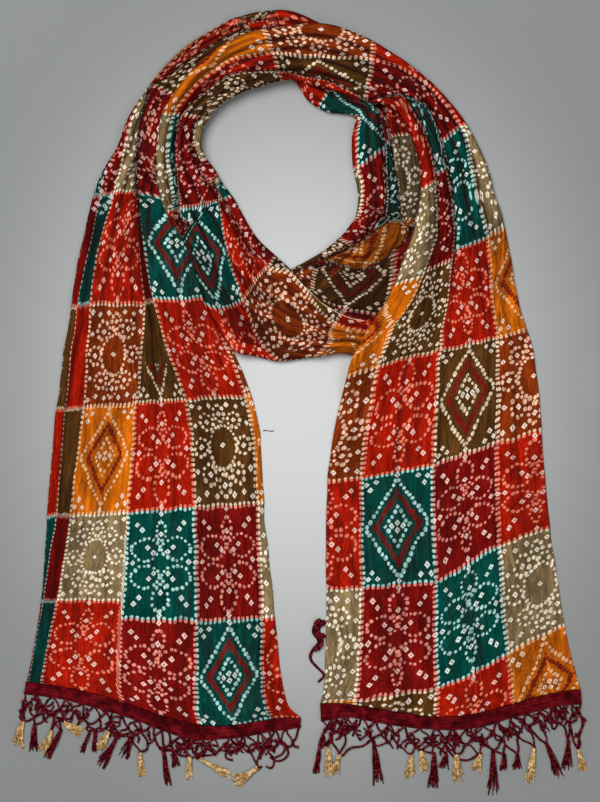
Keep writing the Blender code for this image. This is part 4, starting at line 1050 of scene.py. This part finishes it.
rightFringe = {
    "depths": ((0, 18), (0.12, 14), (0.5, 14), (0.8, 14.5), (1, 15)),
    "columns": 18,
    "tangle": ((0.02, 0.28, 26), (0.28, 0.75, 42), (0.75, 1.0, 20)),
    "tassels": (
        (319, 750, 316, 773, "maroon", 3), (328, 746, 329, 776, "gold", 5), (339, 754, 334, 775, "gold", 4),
        (374, 745, 379, 784, "maroon", 6), (411, 754, 410, 778, "gold", 5), (421, 750, 425, 772, "gold", 4),
        (434, 753, 432, 787, "maroon", 5), (446, 754, 443, 768, "maroon", 5), (456, 754, 458, 781, "gold", 6),
        (481, 754, 475, 771, "gold", 5), (493, 750, 493, 793, "maroon", 5), (504, 754, 503, 770, "maroon", 3),
        (517, 754, 517, 769, "maroon", 4), (534, 747, 530, 783, "gold", 5), (546, 743, 560, 776, "maroon", 5),
        (568, 740, 567, 769, "maroon", 5), (578, 749, 583, 771, "gold", 4),
    ),
    "loops": (
        ((576, 706), (581, 716), (582, 726), (578, 734), (572, 738)),
        ((325, 730), (321, 738), (319, 745), (319, 751)),
        ((342, 756), (350, 748), (362, 746), (370, 741)),
        ((446, 748), (455, 757), (468, 760), (481, 752)),
        ((575, 733), (580, 742), (578, 750)),
    ),
}
fringeYarn = {
    "cord": 0.98,  # radius of a cord in millimetres
    "knot": 1.9,  # how much thicker a knot is
    "strand": 0.64,
    "strands": 28,  # in each tassel
    "knotDepths": (23, 31),  # plan units under the hem
    "bows": {"net": 2.0, "tassel": 2.5, "tangle": 5.0},  # how far a slack cord bows, in plan units
    "grain": 2.6,  # millimetres between dark and light along the yarn
    "stripGrain": 7,
    # painted shade between the strands, middle, and a painted highlight where they would catch the light
    "maroon": ("200409", "520A12", "7E262E"),
    "gold": ("8E6A38", "C29C60", "EBD3AE"),
    "strip": ("36040A", "58080F", "72121A"),
}


def hemLine(run, row, turned):
    # the plan points along a hem, from its left end in the plan
    count = 101
    shares = np.linspace(0, 1, count)
    leftX, leftY, rightX, rightY, sag = smoothRows(run["sections"], np.full(count, float(row)))[:, :5].T
    x = leftX + (rightX - leftX) * shares
    y = leftY + (rightY - leftY) * shares + sag * np.sin(math.pi * shares ** run["sagSkew"]) ** 2
    line = np.stack([x, y], axis=1)
    return line[::-1] if turned else line


def under(line, along, depth):
    # the plan points this far below a hem
    place = np.clip(np.asarray(along, float), 0, 1) * (len(line) - 1)
    spots = np.arange(len(line))
    x, y = np.interp(place, spots, line[:, 0]), np.interp(place, spots, line[:, 1])
    slopeX, slopeY = np.gradient(line[:, 0]), np.gradient(line[:, 1])
    runX, runY = np.interp(place, spots, slopeX), np.interp(place, spots, slopeY)
    size = np.hypot(runX, runY)
    return x - runY / size * depth, y + runX / size * depth


def yarnMaterial(name, dark, middle, pale, grain):
    # twisted cotton yarn: dull, with painted shade, nearly black, between its strands and a painted highlight
    # where they would catch the light
    material = newMaterial(name)
    place = addNode(material, "TexCoord").outputs["Object"]
    noise = addNode(material, "TexNoise", {"Vector": place, "Scale": 1000 / grain, "Detail": 2.0})
    ramp = addNode(material, "ValToRGB", {0: noise.outputs[0]})
    stops = ramp.color_ramp.elements
    stops.new(0.52)
    for stop, position, colour in zip(stops, (0.36, 0.52, 0.7), (dark, middle, pale)):
        stop.position = position
        stop.color = linear(colour)
    inputs = {"Base Color": ramp.outputs[0], "Roughness": 0.7, "Specular IOR Level": 0.02}
    shader = addNode(material, "BsdfPrincipled", inputs)
    addNode(material, "OutputMaterial", {0: shader.outputs[0]})
    return material


def curvePiece(name, lines, thickness, sides, material):
    # one piece of many cords, each with its points in plan units, heights in millimetres, shares of thickness
    curve = bpy.data.curves.new(name, "CURVE")
    curve.dimensions = "3D"
    curve.bevel_depth = thickness * layout["mm"]
    curve.bevel_resolution = sides
    curve.use_fill_caps = True
    for xs, ys, heights, shares in lines:
        spline = curve.splines.new("POLY")
        spline.points.add(len(xs) - 1)
        for point, x, y, height, share in zip(spline.points, xs, ys, heights, shares):
            point.co = (*toWorld(x, y), max(height, thickness * share * 1.05) * layout["mm"], 1)
            point.radius = share
        spline.use_smooth = True
    curve.materials.append(material)
    piece = bpy.data.objects.new(name, curve)
    bpy.context.scene.collection.objects.link(piece)
    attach(piece, "root")
    return piece


def rounded(points, count):
    # a smooth plan line through a few points
    rows = np.array(points, float)
    return smoothRows(rows, np.linspace(0, len(rows) - 1, count)).T


def bowed(start, end, rng, bow, count=9):
    # a slack cord between two knots: it bows to one side and rises over what it crosses
    t = np.linspace(0, 1, count)
    runX, runY = end[0] - start[0], end[1] - start[1]
    side = rng.uniform(-bow, bow)
    sway = side * np.sin(math.pi * t) + rng.uniform(-0.5, 0.5) * np.sin(2 * math.pi * t) * bow
    length = max(math.hypot(runX, runY), 1)
    x = start[0] + runX * t - runY / length * sway
    y = start[1] + runY * t + runX / length * sway
    heights = 1.0 + rng.uniform(0.2, 1.6) * np.sin(math.pi * t)
    return x, y, heights, np.full(count, rng.uniform(0.75, 1.1))


def headingStrip(name, line, depths, material):
    # a band of cloth rolled over three cords, with their ridges along it
    alongCount, topCount, baseCount = 220, 22, 8
    ridges = 3.5  # three cords and the turned-in edge
    t = np.concatenate([np.linspace(0, 1, topCount), np.linspace(1, 0, baseCount)[1:-1], [0]])
    isTop = np.arange(len(t)) < topCount
    along = np.linspace(0, 1, alongCount + 1)
    depth = np.interp(along, *np.array(depths, float).T)[:, None]
    drift = 0.9 * waves(along[:, None] * 14, t * 0 + 0 * depth, 31)
    x, y = under(line, along[:, None] + 0 * t, 0.4 + (depth - 0.4) * t + drift * t)
    ridge = np.abs(np.sin(math.pi * ridges * t)) ** 0.6
    crown = np.sqrt(np.clip(1 - (2 * t - 1) ** 6, 0, 1))
    twist = waves(along[:, None] * 90 + t * 9, t * 4 + 0 * depth, 32)
    lumps = waves(along[:, None] * 30 + 0 * t, t * 3 + 0 * depth, 33)
    height = 0.7 + crown * (1.0 + 1.2 * ridge + 0.35 * twist + 0.35 * lumps)
    z = np.where(isTop, height, 0.15) * layout["mm"]
    worldX, worldY = toWorld(x, y)
    points = np.stack([worldX, worldY, z], axis=2)
    return closedSkin(name, points, material)[0]


def fringe(side, line, spec, seed, node):
    rng = np.random.default_rng(seed)
    depths = np.array(spec["depths"], float).T
    columns, bows = spec["columns"], fringeYarn["bows"]

    def stripDepth(along):
        return float(np.interp(along, *depths))

    def shaken(along, depth, reach):
        return [float(c) + rng.uniform(-reach, reach) for c in under(line, along, depth)]

    strip = headingStrip(side + "HeadingStrip", line, spec["depths"], stripMaterial)
    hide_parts(node)

    # the net: cords from the strip to a first row of knots, on to a second row, and to the tassels' heads
    roots = [shaken(i / columns, stripDepth(i / columns) - 1.5, 0.8) for i in range(columns + 1)]
    firstDepth, secondDepth = fringeYarn["knotDepths"]
    first = [shaken((i + 0.5) / columns, firstDepth, 2.2) for i in range(columns)]
    second = [shaken(i / columns, secondDepth, 2.6) for i in range(columns + 1)]
    heads = [tassel[:2] for tassel in spec["tassels"]]
    cords = []
    for i, knot in enumerate(first):
        cords += [bowed(root, knot, rng, bows["net"]) for root in roots[i : i + 2]]
        cords += [bowed(knot, lower, rng, bows["net"]) for lower in second[i : i + 2]]
    for head in heads:
        near = sorted(second, key=lambda knot: math.dist(knot, head))[:2]
        cords += [bowed(knot, head, rng, bows["tassel"]) for knot in near]
    for start, end, count in spec["tangle"]:
        for _ in range(count):
            along = rng.uniform(start, end)
            one = shaken(along, rng.uniform(stripDepth(along) - 1, 26), 1.0)
            other = shaken(along + rng.uniform(-0.05, 0.05), rng.uniform(22, 38), 1.5)
            cords.append(bowed(one, other, rng, bows["tangle"], 11))
    for loop in spec["loops"]:
        x, y = rounded(loop, 16)
        cords.append((x, y, np.full(16, 1.4) + 0.6 * np.sin(np.linspace(0, 6, 16)), np.ones(16)))
    pieces = [curvePiece(side + "Net", cords, fringeYarn["cord"], 1, yarn["maroon"])]

    knots = []
    for x, y in (*first, *second, *heads):
        turn = rng.uniform(0, math.pi)
        reach = rng.uniform(0.8, 1.3)
        xs = [x - reach * math.cos(turn), x, x + reach * math.cos(turn)]
        ys = [y - reach * math.sin(turn), y, y + reach * math.sin(turn)]
        knots.append((xs, ys, (1.5, 1.9, 1.5), (0.5, 1.0, 0.5)))
    thickness = fringeYarn["cord"] * fringeYarn["knot"]
    pieces.append(curvePiece(side + "Knots", knots, thickness, 2, yarn["maroon"]))

    # the tassels: each strand leaves the head, spreads and curls by its own share, and thins towards its end
    t = np.linspace(0, 1, 8)
    for colour in ("maroon", "gold"):
        strands = []
        for headX, headY, tipX, tipY, tasselYarn, spread in spec["tassels"]:
            if tasselYarn != colour:
                continue
            runX, runY = tipX - headX, tipY - headY
            length = math.hypot(runX, runY)
            runX, runY = runX / length, runY / length
            for _ in range(fringeYarn["strands"]):
                end = rng.uniform(-1, 1)
                reach = length * rng.uniform(0.78, 1.06)
                aside = rng.uniform(-1.3, 1.3) * (1 - t) ** 2 + 1.15 * spread * end * t**1.1
                aside = aside + rng.uniform(-1.2, 1.2) * np.sin(math.pi * t * rng.uniform(0.8, 1.8))
                x = headX + runX * reach * t - runY * aside
                y = headY + runY * reach * t + runX * aside
                heights = 0.6 + 1.9 * (1 - t) + rng.uniform(0, 1.6) * np.sin(math.pi * t)
                strands.append((x, y, heights, np.linspace(1, 0.45, 8)))
        tassels = side + colour.title() + "Tassels"
        pieces.append(curvePiece(tassels, strands, fringeYarn["strand"], 0, yarn[colour]))
    print(side, "fringe", len(cords), "cords")
    return [strip, *pieces]


yarn = {
    colour: yarnMaterial(colour + "CottonYarn", *fringeYarn[colour], fringeYarn["grain"])
    for colour in ("maroon", "gold")
}
stripMaterial = yarnMaterial("rolledHeading", *fringeYarn["strip"], fringeYarn["stripGrain"])
leftPieces = fringe("left", hemLine(underRun, 0, False), leftFringe, 11, "left_fringe")
rightPieces = fringe("right", hemLine(overRun, 43, True), rightFringe, 23, "right_fringe")

# the right hem's turned-under corner with the cord that hangs from it, and a loose thread on the left tail
corner = {
    "rollHeight": 1.9,  # millimetres, as are the next two
    "cordHeight": 1.3,
    "threadHeight": 0.8,
    "threadRadius": 0.3,
    "roll": (
        ((321, 620), (316, 623), (314, 629), (316, 635), (319, 640), (321, 646)),
        ((325, 621), (320, 625), (318, 631), (320, 637), (322, 641), (317, 649)),
        ((324, 634), (321, 638), (319, 643), (314, 650)),
    ),
    "cord": ((318, 644), (311, 653), (311, 660), (317, 667), (323, 673), (323, 677), (318, 682)),
    "thread": ((263, 431), (266, 430.2), (270, 431.2), (274, 430.8)),
}
rollHeights = np.full(14, corner["rollHeight"])
rollShares = 2.1 + 0.5 * np.sin(np.linspace(0, 15, 14))  # thick and thin by turns
rolls = [(*rounded(points, 14), rollHeights, rollShares) for points in corner["roll"]]
hanging = (*rounded(corner["cord"], 22), np.full(22, corner["cordHeight"]), np.linspace(1.5, 1, 22))
cornerYarn = curvePiece("rightCornerYarn", [*rolls, hanging], fringeYarn["cord"], 1, yarn["maroon"])
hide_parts("right_fringe_corner")
thread = (*rounded(corner["thread"], 8), np.full(8, corner["threadHeight"]), np.ones(8))
looseThread = curvePiece("looseThread", [thread], corner["threadRadius"], 0, yarn["maroon"])
print("fringe made")

# the selvedge of the front cross, a pale line where its edge turns up
# its dark, middle and pale colours give painted shade and a painted highlight along the yarn, as in the
# fringe
selvedge = {"rows": (1.3, 5.5), "radius": 0.36, "lift": 0.1, "dye": ("A07A5C", "DCC4A6", "F4E6D2")}
crossing = laid["frontCrossCloth"]
shown = (crossing["at"] > selvedge["rows"][0]) & (crossing["at"] < selvedge["rows"][1])
line = crossing["rightEdge"][shown][::2]
selvedgeLine = (
    line[:, 0] / layout["unit"] + layout["middle"][0],
    layout["middle"][1] - line[:, 1] / layout["unit"],
    line[:, 2] / layout["mm"] + selvedge["lift"],
    np.full(len(line), 1.0),
)
undyed = yarnMaterial("undyedSelvedge", *selvedge["dye"], 3)
frontSelvedge = curvePiece("frontSelvedge", [selvedgeLine], selvedge["radius"], 1, undyed)

studio = {
    "floorMiddle": "CDCFCE",  # a plain paper sweep, with painted light: paler in the middle
    "floorRim": "838685",
    "paintedLightPool": (0.02, 0.42),  # metres from the middle over which the painted light darkens to the rim
    "cameraHeight": 2.5,
    "lookAt": (300.0, 401.0),
    "frameHeight": 802.0,  # plan units from the top to the bottom of the view
    "sensor": 36.0,
    # place and size in metres, power in watts
    "lamps": {"keyLight": ((-0.65, 0.85, 2.2), 1.5, 55), "fillLight": ((1.1, -1.0, 2.1), 1.8, 16)},
    "skyStrength": 0.18,
}


def floorMaterial():
    # matt grey paper, with a soft patch of painted light round the cloth, paler in the middle
    material = newMaterial("greyPaper")
    place = addNode(material, "TexCoord").outputs["Object"]
    flat = addNode(material, "VectorMath", {0: place, 1: (1.25, 1, 0)}, operation="MULTIPLY").outputs[0]
    far = addNode(material, "VectorMath", {0: flat}, operation="LENGTH").outputs[1]
    low, high = studio["paintedLightPool"]
    span = {0: far, 1: low, 2: high}
    share = addNode(material, "MapRange", span, interpolation_type="SMOOTHSTEP").outputs[0]
    shades = {1: linear(studio["floorMiddle"]), 2: linear(studio["floorRim"])}
    colour = addNode(material, "MixRGB", {0: share, **shades}).outputs[0]
    shader = addNode(material, "BsdfPrincipled", {"Base Color": colour, "Roughness": 0.9})
    addNode(material, "OutputMaterial", {0: shader.outputs[0]})
    return material


floorMesh = bmesh.new()
bmesh.ops.create_grid(floorMesh, x_segments=1, y_segments=1, size=6)
floorPiece = bpy.data.meshes.new("floor")
floorMesh.to_mesh(floorPiece)
floorMesh.free()
floorPiece.materials.append(floorMaterial())
floor = bpy.data.objects.new("floor", floorPiece)
bpy.context.scene.collection.objects.link(floor)

cameraData = bpy.data.cameras.new("camera")
cameraData.sensor_width = studio["sensor"]
cameraData.lens = studio["sensor"] * studio["cameraHeight"] / (studio["frameHeight"] * layout["unit"])
camera = bpy.data.objects.new("camera", cameraData)
camera.location = (*toWorld(*studio["lookAt"]), studio["cameraHeight"])
bpy.context.scene.collection.objects.link(camera)
bpy.context.scene.camera = camera

for lampName, (place, size, power) in studio["lamps"].items():
    lampData = bpy.data.lights.new(lampName, "AREA")
    lampData.shape = "DISK"
    lampData.size = size
    lampData.energy = power
    lamp = bpy.data.objects.new(lampName, lampData)
    lamp.location = place
    lamp.rotation_euler = (-Vector(place)).to_track_quat("-Z", "Y").to_euler()
    bpy.context.scene.collection.objects.link(lamp)
world = bpy.data.worlds.new("studio")
world.use_nodes = True
sky = world.node_tree.nodes["Background"]
sky.inputs["Color"].default_value = (1, 1, 1, 1)
sky.inputs["Strength"].default_value = studio["skyStrength"]
bpy.context.scene.world = world
bpy.context.scene.view_settings.view_transform = "Standard"
print("studio lit")
